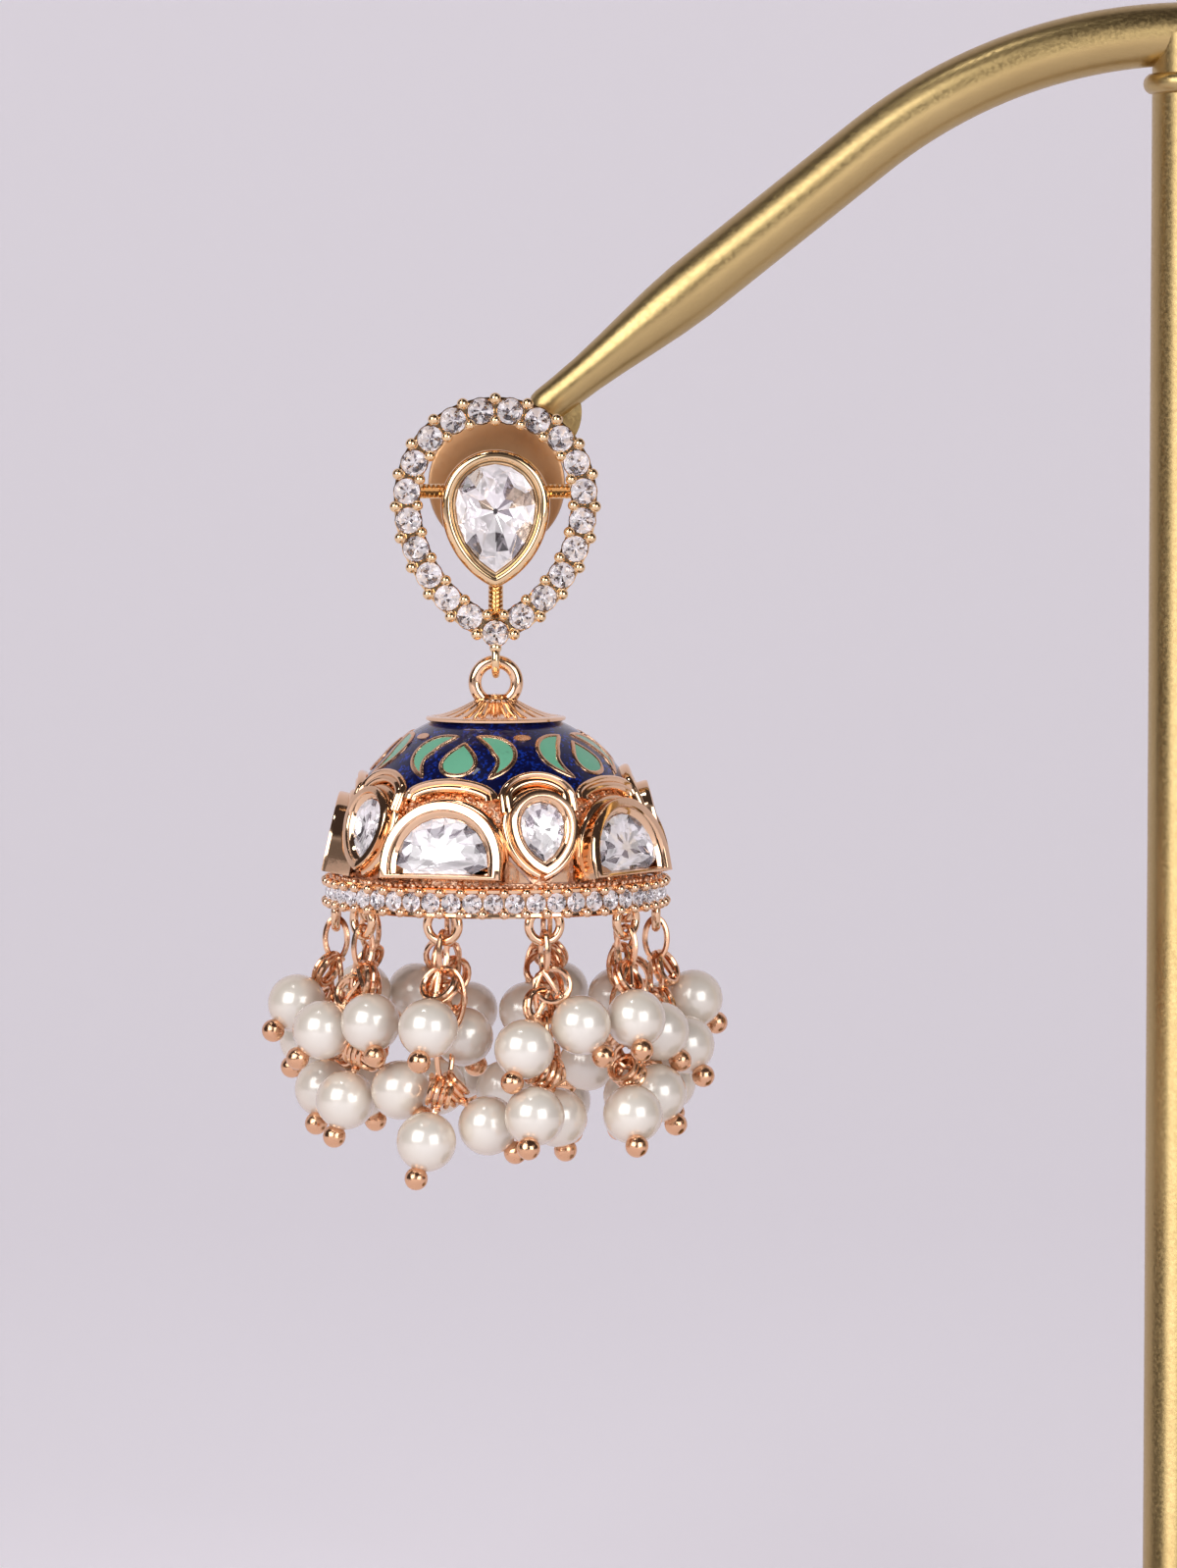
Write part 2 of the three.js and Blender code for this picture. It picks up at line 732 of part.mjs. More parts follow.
// The arm's centre line: a slope up from the plate, then one bow over the upright.
function armPath() {
  const slope = radians(armSlope);
  const start = new THREE.Vector2(armTipOut - standReach, postHeight + armTipUp);
  const rise = Math.tan(slope);
  const bowShare = Math.tan(slope / 2);
  const bendX = (crestZ - start.y + start.x * rise) / (rise - bowShare);
  const bowR = -bendX / Math.sin(slope);
  const stations = [];
  for (const share of [0, 0.4, 1]) {
    const x = start.x + (bendX - start.x) * share;
    stations.push({ x, z: start.y + (x - start.x) * rise, angle: slope });
  }
  const steps = 6;
  for (let i = 1; i <= steps; i++) {
    const angle = slope * (1 - i / steps);
    stations.push({ x: -bowR * Math.sin(angle), z: crestZ - bowR * (1 - Math.cos(angle)), angle });
  }
  stations.push({ x: armEnd, z: crestZ, angle: 0 });
  return stations;
}

function arm() {
  const stations = armPath();
  const sides = 10;
  const start = stations[0];
  const ringAt = ({ x, z, angle }, r) => {
    const ring = [];
    for (let i = 0; i < sides; i++) {
      const a = (2 * Math.PI * i) / sides;
      const [up, back] = [r * Math.cos(a), r * Math.sin(a)];
      const p = new THREE.Vector3(x - up * Math.sin(angle), back, z + up * Math.cos(angle));
      p.flat = new THREE.Vector2(up, back);
      ring.push(p);
    }
    return ring;
  };
  const rings = stations.map((station) => {
    const along = Math.hypot(station.x - start.x, station.z - start.z);
    const share = Math.min(along / armTaper, 1);
    return ringAt(station, armTipR + (armR - armTipR) * share);
  });
  rings.push(ringAt({ x: armEnd + armNose, z: crestZ, angle: 0 }, noseShare * armR));
  return solid(loft(rings));
}

// The flat plate at the arm's end: a disc with a hole for the post, drawn out towards the arm.
function paddle() {
  const reach = Math.hypot(armTipOut, armTipUp);
  const towards = Math.atan2(armTipUp, armTipOut);
  const spread = Math.acos((paddleR - paddleNeckR) / reach);
  const shape = new THREE.Shape();
  shape.absarc(0, 0, paddleR, towards + spread, towards - spread + 2 * Math.PI, false);
  shape.absarc(armTipOut, armTipUp, paddleNeckR, towards - spread, towards + spread, false);
  shape.closePath();
  const hole = new THREE.Path();
  hole.absarc(0, 0, postR + holeGap, 0, 2 * Math.PI, true);
  shape.holes.push(hole);
  const extrusion = { depth: paddleDepth, bevelEnabled: false, curveSegments: 10 };
  const made = new THREE.ExtrudeGeometry(shape, extrusion);
  made.translate(0, 0, -paddleDepth / 2);
  made.rotateX(Math.PI / 2);
  made.translate(-standReach, 0, postHeight);
  return solid(made);
}

function lathed(profile, sides) {
  const made = new THREE.LatheGeometry(profile.map(([r, z]) => new THREE.Vector2(r, z)), sides);
  made.rotateX(Math.PI / 2);
  return solid(made);
}

function standMetal() {
  const base = lathed([
    [0, 0],
    [baseR, 0],
    [baseR, baseHeight - baseChamfer],
    [baseR - baseChamfer, baseHeight],
    [0, baseHeight],
  ], 28);
  const collarZ = crestZ - collarDrop;
  const upright = lathed([
    [0, baseHeight / 2],
    [uprightR, baseHeight / 2],
    [uprightR, collarZ - collarHeight / 2],
    [collarR, collarZ - collarHeight / 4],
    [collarR, collarZ + collarHeight / 4],
    [uprightR, collarZ + collarHeight / 2],
    [uprightR, crestZ],
    [0, crestZ],
  ], 10);
  return joined([base, upright, arm(), paddle()]);
}

// Assembly
const stud = new THREE.Group();
stud.position.set(-standReach, -(paddleDepth / 2 + paddleGap + pearBack), postHeight - postRise);
stud.add(mesh('top_setting', studMetal(), goldMaterial));
stud.add(mesh('pear_stone', pearStone(), crystalMaterial));

const bell = new THREE.Group();
bell.position.set(0, 0, hingeZ - bellHinge);
bell.add(mesh('bell', bellMetal(), goldMaterial));
bell.add(mesh('blue_enamel', enamelSkin(), enamelMaterial));
for (let i = 0; i < repeats; i++) {
  bell.add(mesh(`half_moon_stone_${i + 1}`, moonStone(moonTurn(i)), crystalMaterial));
  bell.add(mesh(`drop_stone_${i + 1}`, dropStone(dropTurn(i)), crystalMaterial));
}
for (let i = 0; i < strandCount; i++) {
  const strand = new THREE.Group();
  strand.rotation.z = strandTurn(i);
  const hanging = mesh(`pearl_strand_${String(i + 1).padStart(2, '0')}`, pearlStrand(i), roseMaterial);
  hanging.position.set(0, -strandR, 0);
  strand.add(hanging);
  bell.add(strand);
}
stud.add(bell);

sceneRoot.add(mesh('display_stand', standMetal(), brassMaterial));
sceneRoot.add(stud);

export default sceneRoot;
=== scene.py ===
import math

import bmesh
import bpy
from mathutils import Matrix, Vector


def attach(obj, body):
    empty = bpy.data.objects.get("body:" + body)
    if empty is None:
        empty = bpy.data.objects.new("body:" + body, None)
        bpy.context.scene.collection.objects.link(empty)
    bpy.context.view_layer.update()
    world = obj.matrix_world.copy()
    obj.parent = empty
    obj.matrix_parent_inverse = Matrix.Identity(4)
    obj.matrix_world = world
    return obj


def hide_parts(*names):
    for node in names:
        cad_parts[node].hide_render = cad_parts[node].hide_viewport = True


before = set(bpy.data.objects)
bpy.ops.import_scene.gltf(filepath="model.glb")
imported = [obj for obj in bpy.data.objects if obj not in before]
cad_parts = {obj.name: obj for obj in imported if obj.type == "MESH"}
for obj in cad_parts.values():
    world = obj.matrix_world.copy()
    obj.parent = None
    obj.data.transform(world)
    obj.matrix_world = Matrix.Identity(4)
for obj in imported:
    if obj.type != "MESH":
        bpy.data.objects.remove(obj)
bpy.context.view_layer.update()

# Sizes in millimetres, the same as the part's own
MM = 0.001
STUD_AT = (-47.5, -4.6, 85.1)
BELL_AT = (-47.5, -4.6, 60.342)

HALO_R = 6.0
HALO_SIDE_R = 9.6
HALO_WIDTH = 2.0
HALO_DEPTH = 1.7
HALO_STONES = 21
HALO_STONE_R = 0.88
PEAR_R = 2.7
PEAR_SIDE_R = 5.3
PEAR_WALL = 1.0
PEAR_RIM = 1.25
PEAR_BACK = 1.0
PEAR_DROP = 0.36
POST_RISE = 0.9
POST_R = 0.45
POST_LENGTH = 10.0
LOOP_R = 1.02
LOOP_WIRE_R = 0.28
LOOP_SINK = 0.35
RING_R = 1.42
RING_WIRE_R = 0.45
RING_SINK = 0.78

DOME_R = 10.64
DOME_WALL = 1.2
CAP_SEAT_R = 4.4
CAP_RIM_R = 4.75
CAP_TOP_R = 1.3
CAP_HEIGHT = 1.45
CAP_LIFT = 0.05
CAP_LIP = 0.25
CAP_FLUTES = 24
REPEATS = 5
FIRST_TURN = math.radians(-18)
MOON_R = 3.2
MOON_FOOT = 0.55
MOON_WALL = 1.1
MOON_FOOT_SHARE = 0.36
MOON_STAND = 0.8
DROP_R = 1.5
DROP_SIDE_R = 2.85
DROP_WALL = 0.85
DROP_STAND = 0.75
SETTING_SINK = 0.1
BAND_R = 11.67
BAND_HEIGHT = 2.0
BAND_WALL = 1.4
BAND_TOP = -0.85
BAND_STONES = 50
WALL_GRAINS = 1500
BAND_GRAINS = 150
SETTING_RISE = 0.42
DROP_SETTING_RISE = 0.65
DROP_RING_R = 1.09
DROP_RING_WIRE_R = 0.31
DROP_RING_AT = 0.5

STRANDS = 10
FIRST_STRAND = math.radians(-162)
STRAND_R = 10.9
WIRE_R = 0.2
UPPER_LINK_LENGTH = 2.8
UPPER_LINK_WIDTH = 1.5
PIN_REACH = 4.2
PEARL_R = 2.0
BALL_R = 0.78
BALL_AT = 2.55
LINK_GAP = 0.15

# How each strand's four pearls hang: the pin's top below the upper link,
# and its lean in degrees, outwards and to the side. The rows repeat round the bell.
STRAND_HANG = [
    [(0, 23, 32), (1.4, 25, -29), (6.0, 36, -24), (6.0, -18, 19)],
    [(0, 34, -30), (1.0, 20, 33), (5.0, 19, 28), (6.4, 32, -32)],
    [(0, 42, 29), (2.4, 31, -27), (5.0, 12, 27), (5.6, -24, -23)],
    [(0, 15, 33), (1.0, 35, -27), (4.9, 14, -10), (5.2, -20, 46)],
    [(0, 36, -3), (1.0, -35, 10), (7.2, -17, 44), (7.2, 20, -10)],
]

# The eye of each of a strand's four pins: which way it faces, its turns of wire and its radius
PIN_EYES = [
    ((-0.25, -1, 0), 2.0, 1.15),
    ((0.25, -1, 0), 2.0, 1.15),
    ((1, 0.3, 0), 4.0, 0.92),
    ((1, 0.3, 0), 4.0, 0.92),
]

STAND_REACH = 47.5
POST_HEIGHT = 86.0
CREST_RISE = 30.7
ARM_SLOPE = math.radians(38.65)
ARM_R = 2.15
ARM_TIP_R = 1.3
ARM_TAPER = 12.0
ARM_TIP_OUT = 4.5
ARM_TIP_UP = 6.2
ARM_TIP_PAST = 1.3
ARM_END = 3.0
PADDLE_R = 4.7
PADDLE_DEPTH = 1.2
HOLE_GAP = 0.3
UPRIGHT_R = 2.7
COLLAR_R = 3.3
COLLAR_HEIGHT = 1.4
COLLAR_DROP = 3.4
BASE_R = 24.0
BASE_HEIGHT = 5.0
BASE_ROUND = 0.9

HALO_TIP = -math.sqrt((HALO_SIDE_R + HALO_WIDTH / 2) ** 2 - (HALO_SIDE_R - HALO_R) ** 2)
LOOP_Z = HALO_TIP + LOOP_SINK - LOOP_R - LOOP_WIRE_R
CAP_RIM_Z = math.sqrt(DOME_R ** 2 - CAP_SEAT_R ** 2) + CAP_LIFT
CAP_TOP = CAP_RIM_Z + CAP_HEIGHT
RING_Z = CAP_TOP + RING_R + RING_WIRE_R - RING_SINK
BAND_BOTTOM = BAND_TOP - BAND_HEIGHT
DROP_RING_Z = BAND_BOTTOM - DROP_RING_AT
UPPER_LINK_TOP = DROP_RING_Z - DROP_RING_R + DROP_RING_WIRE_R + WIRE_R + LINK_GAP
UPPER_FOOT = UPPER_LINK_TOP - UPPER_LINK_LENGTH
CREST_Z = POST_HEIGHT + CREST_RISE

to_metres = Matrix.Scale(MM, 4)
STUD = to_metres @ Matrix.Translation(STUD_AT)
BELL = to_metres @ Matrix.Translation(BELL_AT)
STAND = to_metres


# Forms: points in millimetres with the faces between them

def round_turn(count):
    """Even angles once round."""
    return [2 * math.pi * k / count for k in range(count)]


def on_arc(radius, a, across=0.0):
    """The point of an arc whose centre lies at (across, 0)."""
    return across + radius * math.cos(a), radius * math.sin(a)


class Form:
    def __init__(self):
        self.points = []
        self.faces = []
        self.slots = []

    def add(self, other, place=None):
        start = len(self.points)
        self.points += [place @ p if place else p.copy() for p in other.points]
        self.faces += [tuple(n + start for n in face) for face in other.faces]
        self.slots += other.slots
        return self


def lofted(rings, loop=False, ends=True):
    """A skin over closed rings of points; loop joins the last ring to the first."""
    form = Form()
    count = len(rings[0])
    form.points = [Vector(p) for ring in rings for p in ring]
    for i in range(len(rings) if loop else len(rings) - 1):
        after = (i + 1) % len(rings)
        for j in range(count):
            k = (j + 1) % count
            form.faces.append((i * count + j, i * count + k, after * count + k, after * count + j))
    if ends and not loop:
        form.faces.append(tuple(reversed(range(count))))
        form.faces.append(tuple(range((len(rings) - 1) * count, len(rings) * count)))
    form.slots = [0] * len(form.faces)
    return form


def headings(path, closed=False):
    """The step from the point before to the point after, at each point of a path."""
    before = [path[-1] if closed else path[0]] + path[:-1]
    after = path[1:] + [path[0] if closed else path[-1]]
    return [b - a for a, b in zip(before, after)]


def swept(path, section, closed=False):
    """A section of (across, outwards) points drawn along a path on the dome."""
    rings = []
    for point, step in zip(path, headings(path, closed)):
        out = point.normalized()
        across = step.cross(out).normalized()
        rings.append([point + across * a + out * b for a, b in section])
    return lofted(rings, loop=closed)


def tube(path, radius, sides=8, closed=False):
    """Round wire along a path; radius is one number, or one for each point."""
    radii = radius if isinstance(radius, list) else [radius] * len(path)
    rings = []
    across = None
    for point, step, r in zip(path, headings(path, closed), radii):
        along = step.normalized()
        across = across or along.orthogonal().normalized()
        across = (across - along * across.dot(along)).normalized()
        up = along.cross(across)
        rings.append([point + (across * math.cos(a) + up * math.sin(a)) * r for a in round_turn(sides)])
    return lofted(rings, loop=closed)


def lathe(profile, sides):
    """A profile of (radius, height) turned about Z."""
    return lofted([[Vector((*on_arc(r, a), z)) for a in round_turn(sides)] for r, z in profile], ends=False)


def ball(radius, rows=10, sides=16):
    angles = [math.pi * (k / rows - 0.5) for k in range(rows + 1)]
    return lathe([on_arc(radius, a) for a in angles], sides)


def wire_ring(radius, wire_r, steps=40, sides=12):
    """A wire ring in the XZ plane."""
    path = [Vector((radius * math.cos(a), 0, radius * math.sin(a))) for a in round_turn(steps)]
    return tube(path, wire_r, sides, closed=True)


def facing(at, direction, spin=0.0):
    """A place whose Z points along direction."""
    turn = Vector(direction).to_track_quat('Z', 'Y').to_matrix().to_4x4()
    return Matrix.Translation(at) @ turn @ Matrix.Rotation(spin, 4, 'Z')


def pear_outline(top_r, side_r, offset, steps):
    """Round top and two side arcs that meet in a point below, as (x, z)."""
    centre = side_r - top_r
    sweep = math.acos(centre / (side_r + offset))
    points = []
    for i in range(2 * steps):
        points.append(on_arc(top_r + offset, math.pi * i / (2 * steps)))
    for i in range(steps):
        points.append(on_arc(side_r + offset, math.pi + sweep * i / steps, centre))
    for i in range(steps):
        points.append(on_arc(side_r + offset, sweep * (i / steps - 1), -centre))
    return points


def moon_outline(offset, steps):
    """Half circle on short straight sides, as (x, z)."""
    foot = MOON_FOOT + MOON_FOOT_SHARE * offset
    r = MOON_R + offset
    points = [on_arc(r, math.pi * i / steps) for i in range(steps + 1)]
    across = [-1 + 2 * k / 6 for k in range(7)]
    return points + [(r * share, -foot) for share in across]


def layered(outline, layers):
    """Offsets of an outline, each at its own depth y."""
    return lofted([[Vector((x, y, z)) for x, z in outline(offset)] for offset, y in layers])


def cut_gem(outline, centre, rows, dark=0.3, seed=0.0):
    """A stone of facet rows (even scale, odd scale, depth), culet first, foiled behind in two tones: the grey
    foil on random facets paints dark reflections.
    """
    rings = []
    for even, odd, y in rows:
        ring = []
        for i, (x, z) in enumerate(outline):
            scale = odd if i % 2 else even
            ring.append(Vector((centre[0] + (x - centre[0]) * scale, y, centre[1] + (z - centre[1]) * scale)))
        rings.append(ring)
    gem = lofted(rings)
    count = len(outline)
    # Painted reflection: a random share of the back facets takes the grey foil as dark facets, the rest takes
    # the bright foil.
    facet_backs_painted_reflection = [2 if scatter(i + seed) < dark else 1 for i in range(3 * count + 1)]
    gem.slots = facet_backs_painted_reflection[:3 * count] + [0] * ((len(rings) - 4) * count) + [facet_backs_painted_reflection[-1], 0]
    return gem


def scatter(n, rate=12.9898, shift=4.1):
    """A steady pseudo-random number from 0 to 1."""
    return math.sin(rate * n + shift) * 43758.5453 % 1.0


def brilliant(radius, seed):
    """A round stone, its table up along Z."""
    rows = [(0.05, 0.05, 0.5), (0.30, 0.36, 0.42), (0.60, 0.68, 0.24), (1, 1, 0.03), (1, 1, -0.05),
            (0.80, 0.88, -0.26), (0.58, 0.52, -0.38)]
    circle = [on_arc(1, a) for a in round_turn(16)]
    gem = cut_gem(circle, (0, 0), rows, 0.36, seed)
    gem.points = [Vector((p.x, p.z, -p.y)) * radius for p in gem.points]
    return gem


def prong(radius, height):
    """A bead on a short post, up along Z."""
    stem = 0.7 * radius
    profile = [(stem, -height), (stem, -0.75 * radius)]
    profile += [on_arc(radius, a) for a in (-0.65, -0.3, 0.05, 0.4, 0.75, 1.1, 1.35)]
    return lathe(profile + [(0, radius)], 14)


def placed(name, data):
    """A new object of its data, in the scene."""
    made = bpy.data.objects.new(name, data)
    bpy.context.scene.collection.objects.link(made)
    return made


def mesh_of(name, form, place, materials=(), weld=0.0):
    """A form's mesh at its place, its faces turned outwards."""
    mesh = bpy.data.meshes.new(name)
    mesh.from_pydata([place @ p for p in form.points], [], form.faces)
    for material in materials:
        mesh.materials.append(material)
    mesh.polygons.foreach_set("material_index", form.slots)
    shape = bmesh.new()
    shape.from_mesh(mesh)
    if weld:
        bmesh.ops.remove_doubles(shape, verts=shape.verts, dist=weld)
    bmesh.ops.recalc_face_normals(shape, faces=shape.faces)
    shape.to_mesh(mesh)
    shape.free()
    return mesh


def piece(name, form, place, materials, body, slot, *nodes, crease=40):
    """Makes the mesh object of a form, riding on its body and standing for its nodes."""
    looks = materials if isinstance(materials, list) else [materials]
    mesh = mesh_of(name, form, place, looks, weld=2e-7)
    if crease:
        mesh.shade_smooth()
        mesh.set_sharp_from_angle(angle=math.radians(crease))
    made = placed(name, mesh)
    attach(made, body)
    if nodes:
        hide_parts(*nodes)
    return made


def carved(made, form, place):
    """Cuts a form out of a piece."""
    cutter = placed("cutter", mesh_of("cutter", form, place))
    cut = made.modifiers.new("cut", "BOOLEAN")
    cut.object = cutter
    cut.solver = "EXACT"
    result = bpy.data.meshes.new_from_object(made.evaluated_get(bpy.context.evaluated_depsgraph_get()))
    made.modifiers.clear()
    made.data = result
    bpy.data.objects.remove(cutter)


# Materials

def new_group(name, outputs, inputs):
    """An empty shader node group with named sockets."""
    group = bpy.data.node_groups.new(name, "ShaderNodeTree")
    for label, kind, value in inputs:
        made = group.interface.new_socket(name=label, in_out="INPUT", socket_type=kind)
        made.default_value = value
    for label, kind in outputs:
        group.interface.new_socket(name=label, in_out="OUTPUT", socket_type=kind)
    return group, group.nodes.new("NodeGroupInput"), group.nodes.new("NodeGroupOutput")


def colour_mix(nodes, links, factor, first, second, blend="MIX"):
    """The mix of two colours; the first can also be a node's output."""
    mix = nodes.new("ShaderNodeMix")
    mix.data_type = "RGBA"
    mix.blend_type = blend
    links.new(factor, mix.inputs["Factor"])
    if isinstance(first, tuple):
        mix.inputs["A"].default_value = (*first, 1)
    else:
        links.new(first, mix.inputs["A"])
    mix.inputs["B"].default_value = (*second, 1)
    return mix.outputs["Result"]


def ranged(nodes, links, source, limits, smooth=False):
    """A value carried from one range over to another, the limits named by their sockets."""
    node = nodes.new("ShaderNodeMapRange")
    if smooth:
        node.interpolation_type = "SMOOTHSTEP"
    settle(node, limits)
    links.new(source, node.inputs["Value"])
    return node.outputs["Result"]


def settle(node, values):
    """Sets constants on a node's sockets."""
    for label, value in values.items():
        node.inputs[label].default_value = value


def worked(nodes, links, operation, *terms):
    """The result of a Math node on linked terms."""
    node = nodes.new("ShaderNodeMath")
    node.operation = operation
    for socket, term in zip(node.inputs, terms):
        links.new(term, socket)
    return node.outputs["Value"]


def surface_grain():
    """Grain and tone of cast or plated metal: a height for Bump, and two masks."""
    group, given, made = new_group(
        "surface_grain",
        [("Height", "NodeSocketFloat"), ("Fine", "NodeSocketFloat"), ("Tone", "NodeSocketFloat")],
        [("Grain Scale", "NodeSocketFloat", 3000.0), ("Tone Scale", "NodeSocketFloat", 300.0)],
    )
    nodes, links = group.nodes, group.links
    where = nodes.new("ShaderNodeTexCoord")
    fine = nodes.new("ShaderNodeTexNoise")
    tone = nodes.new("ShaderNodeTexNoise")
    for noise, detail, scale in ((fine, 4.0, "Grain Scale"), (tone, 2.0, "Tone Scale")):
        noise.inputs["Detail"].default_value = detail
        links.new(where.outputs["Object"], noise.inputs["Vector"])
        links.new(given.outputs[scale], noise.inputs["Scale"])
    sharpened = ranged(nodes, links, fine.outputs["Fac"], {"From Min": 0.4, "From Max": 0.65})
    links.new(fine.outputs["Fac"], made.inputs["Height"])
    links.new(sharpened, made.inputs["Fine"])
    links.new(tone.outputs["Fac"], made.inputs["Tone"])
    return group


GRAIN = surface_grain()


def new_material(name):
    material = bpy.data.materials.new(name)
    material.use_nodes = True
    tree = material.node_tree
    return material, tree.nodes, tree.links, tree.nodes["Principled BSDF"]


def grain_in(nodes, grain_scale, tone_scale):
    grain = nodes.new("ShaderNodeGroup")
    grain.node_tree = GRAIN
    settle(grain, {"Grain Scale": grain_scale, "Tone Scale": tone_scale})
    return grain


def metal(name, light, dark, rough, grain_scale, bump, tone_scale=250.0, bump_distance=0.00005):
    """A metal whose colour runs between two tones and whose roughness follows its grain."""
    material, nodes, links, shader = new_material(name)
    grain = grain_in(nodes, grain_scale, tone_scale)
    colour = colour_mix(nodes, links, grain.outputs["Tone"], dark, light)
    roughness = ranged(nodes, links, grain.outputs["Fine"], {"To Min": rough[0], "To Max": rough[1]})
    relief = nodes.new("ShaderNodeBump")
    settle(relief, {"Strength": bump, "Distance": bump_distance})
    links.new(colour, shader.inputs["Base Color"])
    links.new(roughness, shader.inputs["Roughness"])
    links.new(grain.outputs["Height"], relief.inputs["Height"])
    links.new(relief.outputs["Normal"], shader.inputs["Normal"])
    settle(shader, {"Metallic": 1.0})
    return material


def foil(name, light, dark, metallic, roughness, painted_glow):
    """Backing under the stones, which gives out a painted glow to brighten them."""
    material, nodes, links, shader = new_material(name)
    grain = grain_in(nodes, 2500.0, 900.0)
    colour = colour_mix(nodes, links, grain.outputs["Tone"], light, dark)
    links.new(colour, shader.inputs["Base Color"])
    # Painted light: the foil's own colour is given out as emission, a glow that brightens the stones.
    links.new(colour, shader.inputs["Emission Color"])
    settle(shader, {"Metallic": metallic, "Roughness": roughness, "Emission Strength": painted_glow})
    return material


def crystal():
    material, nodes, links, shader = new_material("crystal")
    settle(shader, {"Base Color": (1, 1, 1, 1), "Roughness": 0.0, "Transmission Weight": 1.0, "IOR": 1.7})
    return material


def enamel(name, deep, fleck, flecks, painted_sheen=None):
    """Glassy enamel: a deep colour, bright flecks under the surface, and a painted sheen of lighter colour
    where it turns away.
    """
    material, nodes, links, shader = new_material(name)
    grain = grain_in(nodes, 900.0, 500.0)
    where = nodes.new("ShaderNodeTexCoord")
    cells = nodes.new("ShaderNodeTexVoronoi")
    settle(cells, {"Scale": 6500.0})
    links.new(where.outputs["Object"], cells.inputs["Vector"])
    bright = nodes.new("ShaderNodeSeparateColor")
    links.new(cells.outputs["Color"], bright.inputs["Color"])
    chosen = ranged(nodes, links, bright.outputs["Red"], {"From Min": 1.0 - flecks, "From Max": 1.0})
    cloud = worked(nodes, links, "MULTIPLY", chosen, grain.outputs["Fine"])
    colour = colour_mix(nodes, links, cloud, deep, fleck)
    # Painted sheen: towards grazing angles the colour mixes over to a lighter tone.
    if painted_sheen:
        edge = nodes.new("ShaderNodeLayerWeight")
        settle(edge, {"Blend": 0.2})
        colour = colour_mix(nodes, links, edge.outputs["Facing"], colour, painted_sheen)
    links.new(colour, shader.inputs["Base Color"])
    links.new(cloud, shader.inputs["Metallic"])
    settle(shader, {"Roughness": 0.35, "Specular IOR Level": 0.15})
    settle(shader, {"Coat Weight": 1.0, "Coat Roughness": 0.03, "Coat IOR": 1.28})
    return material


def pearl():
    """A pale body with painted shade that turns it tan towards its sides, with soft clouds and a clear coat.
    """
    material, nodes, links, shader = new_material("pearl")
    grain = grain_in(nodes, 700.0, 200.0)
    edge = nodes.new("ShaderNodeLayerWeight")
    settle(edge, {"Blend": 0.5})
    # Painted shade: the body colour turns tan where the surface turns away, as the sphere's sides fall
    # darker.
    body_painted_edge_shade = colour_mix(nodes, links, edge.outputs["Facing"], (0.86, 0.82, 0.76), (0.74, 0.58, 0.43))
    cloudy = colour_mix(nodes, links, grain.outputs["Tone"], body_painted_edge_shade, (0.96, 0.95, 0.91), "MULTIPLY")
    links.new(cloudy, shader.inputs["Base Color"])
    settle(shader, {"Metallic": 0.15, "Roughness": 0.26})
    settle(shader, {"Coat Weight": 1.0, "Coat Roughness": 0.15, "Coat IOR": 1.7})
    return material


PAPER = (0.70, 0.665, 0.715, 1)


def plain_stage():
    material, nodes, links, shader = new_material("pale_lilac_paper")
    settle(shader, {"Base Color": PAPER, "Roughness": 0.9})
    settle(shader, {"Emission Color": PAPER, "Emission Strength": 0.43})
    return material


# Metals: light tone, dark tone, smoothest and roughest, scale of the grain, depth of the relief
stud_gold = metal("stud_gold", (0.95, 0.70, 0.42), (0.90, 0.62, 0.35), (0.04, 0.10), 2500.0, 0.04)
bell_gold = metal("bell_gold", (0.94, 0.65, 0.43), (0.90, 0.57, 0.35), (0.05, 0.12), 2500.0, 0.06)
# cast gold: its roughness and grain are the real rough finish; its darker, more orange colour is painted
# shade of the recesses between border, bezels and band.
cast_gold_painted_shade = metal("cast_gold_painted_shade", (0.84, 0.55, 0.39), (0.70, 0.42, 0.28), (0.18, 0.38), 1800.0, 1.0,
                  bump_distance=0.00015)
copper_wire = metal("copper_wire", (0.96, 0.62, 0.40), (0.88, 0.50, 0.30), (0.14, 0.26), 2600.0, 0.3)
ball_gold = metal("ball_gold", (0.92, 0.56, 0.34), (0.80, 0.43, 0.25), (0.14, 0.30), 1500.0, 0.9,
                  bump_distance=0.00008)
cloison_gold = metal("cloison_gold", (0.88, 0.56, 0.36), (0.74, 0.42, 0.26), (0.16, 0.30), 3000.0, 0.4)
stand_brass = metal("stand_brass", (0.58, 0.43, 0.20), (0.47, 0.33, 0.14), (0.28, 0.40), 4200.0, 0.12, 120.0)
# plate brass: the stand's brass made darker and redder, painted shade from the halo in front of it with a
# painted reflection of the gold.
plate_brass_painted_shade = metal("plate_brass_painted_shade", (0.52, 0.31, 0.17), (0.44, 0.25, 0.13), (0.34, 0.46), 4200.0, 0.12, 120.0)
# bright foil: its emission is a painted glow that lights up the stones.
bright_foil_painted_glow = foil("bright_foil_painted_glow", (0.98, 0.95, 0.97), (0.92, 0.87, 0.90), 0.70, 0.10, 0.26)
# grey foil: dark backing on random facets, a painted dark reflection.
grey_foil_painted_dark_reflection = foil("grey_foil_painted_dark_reflection", (0.50, 0.46, 0.49), (0.36, 0.33, 0.35), 1.0, 0.08, 0.0)
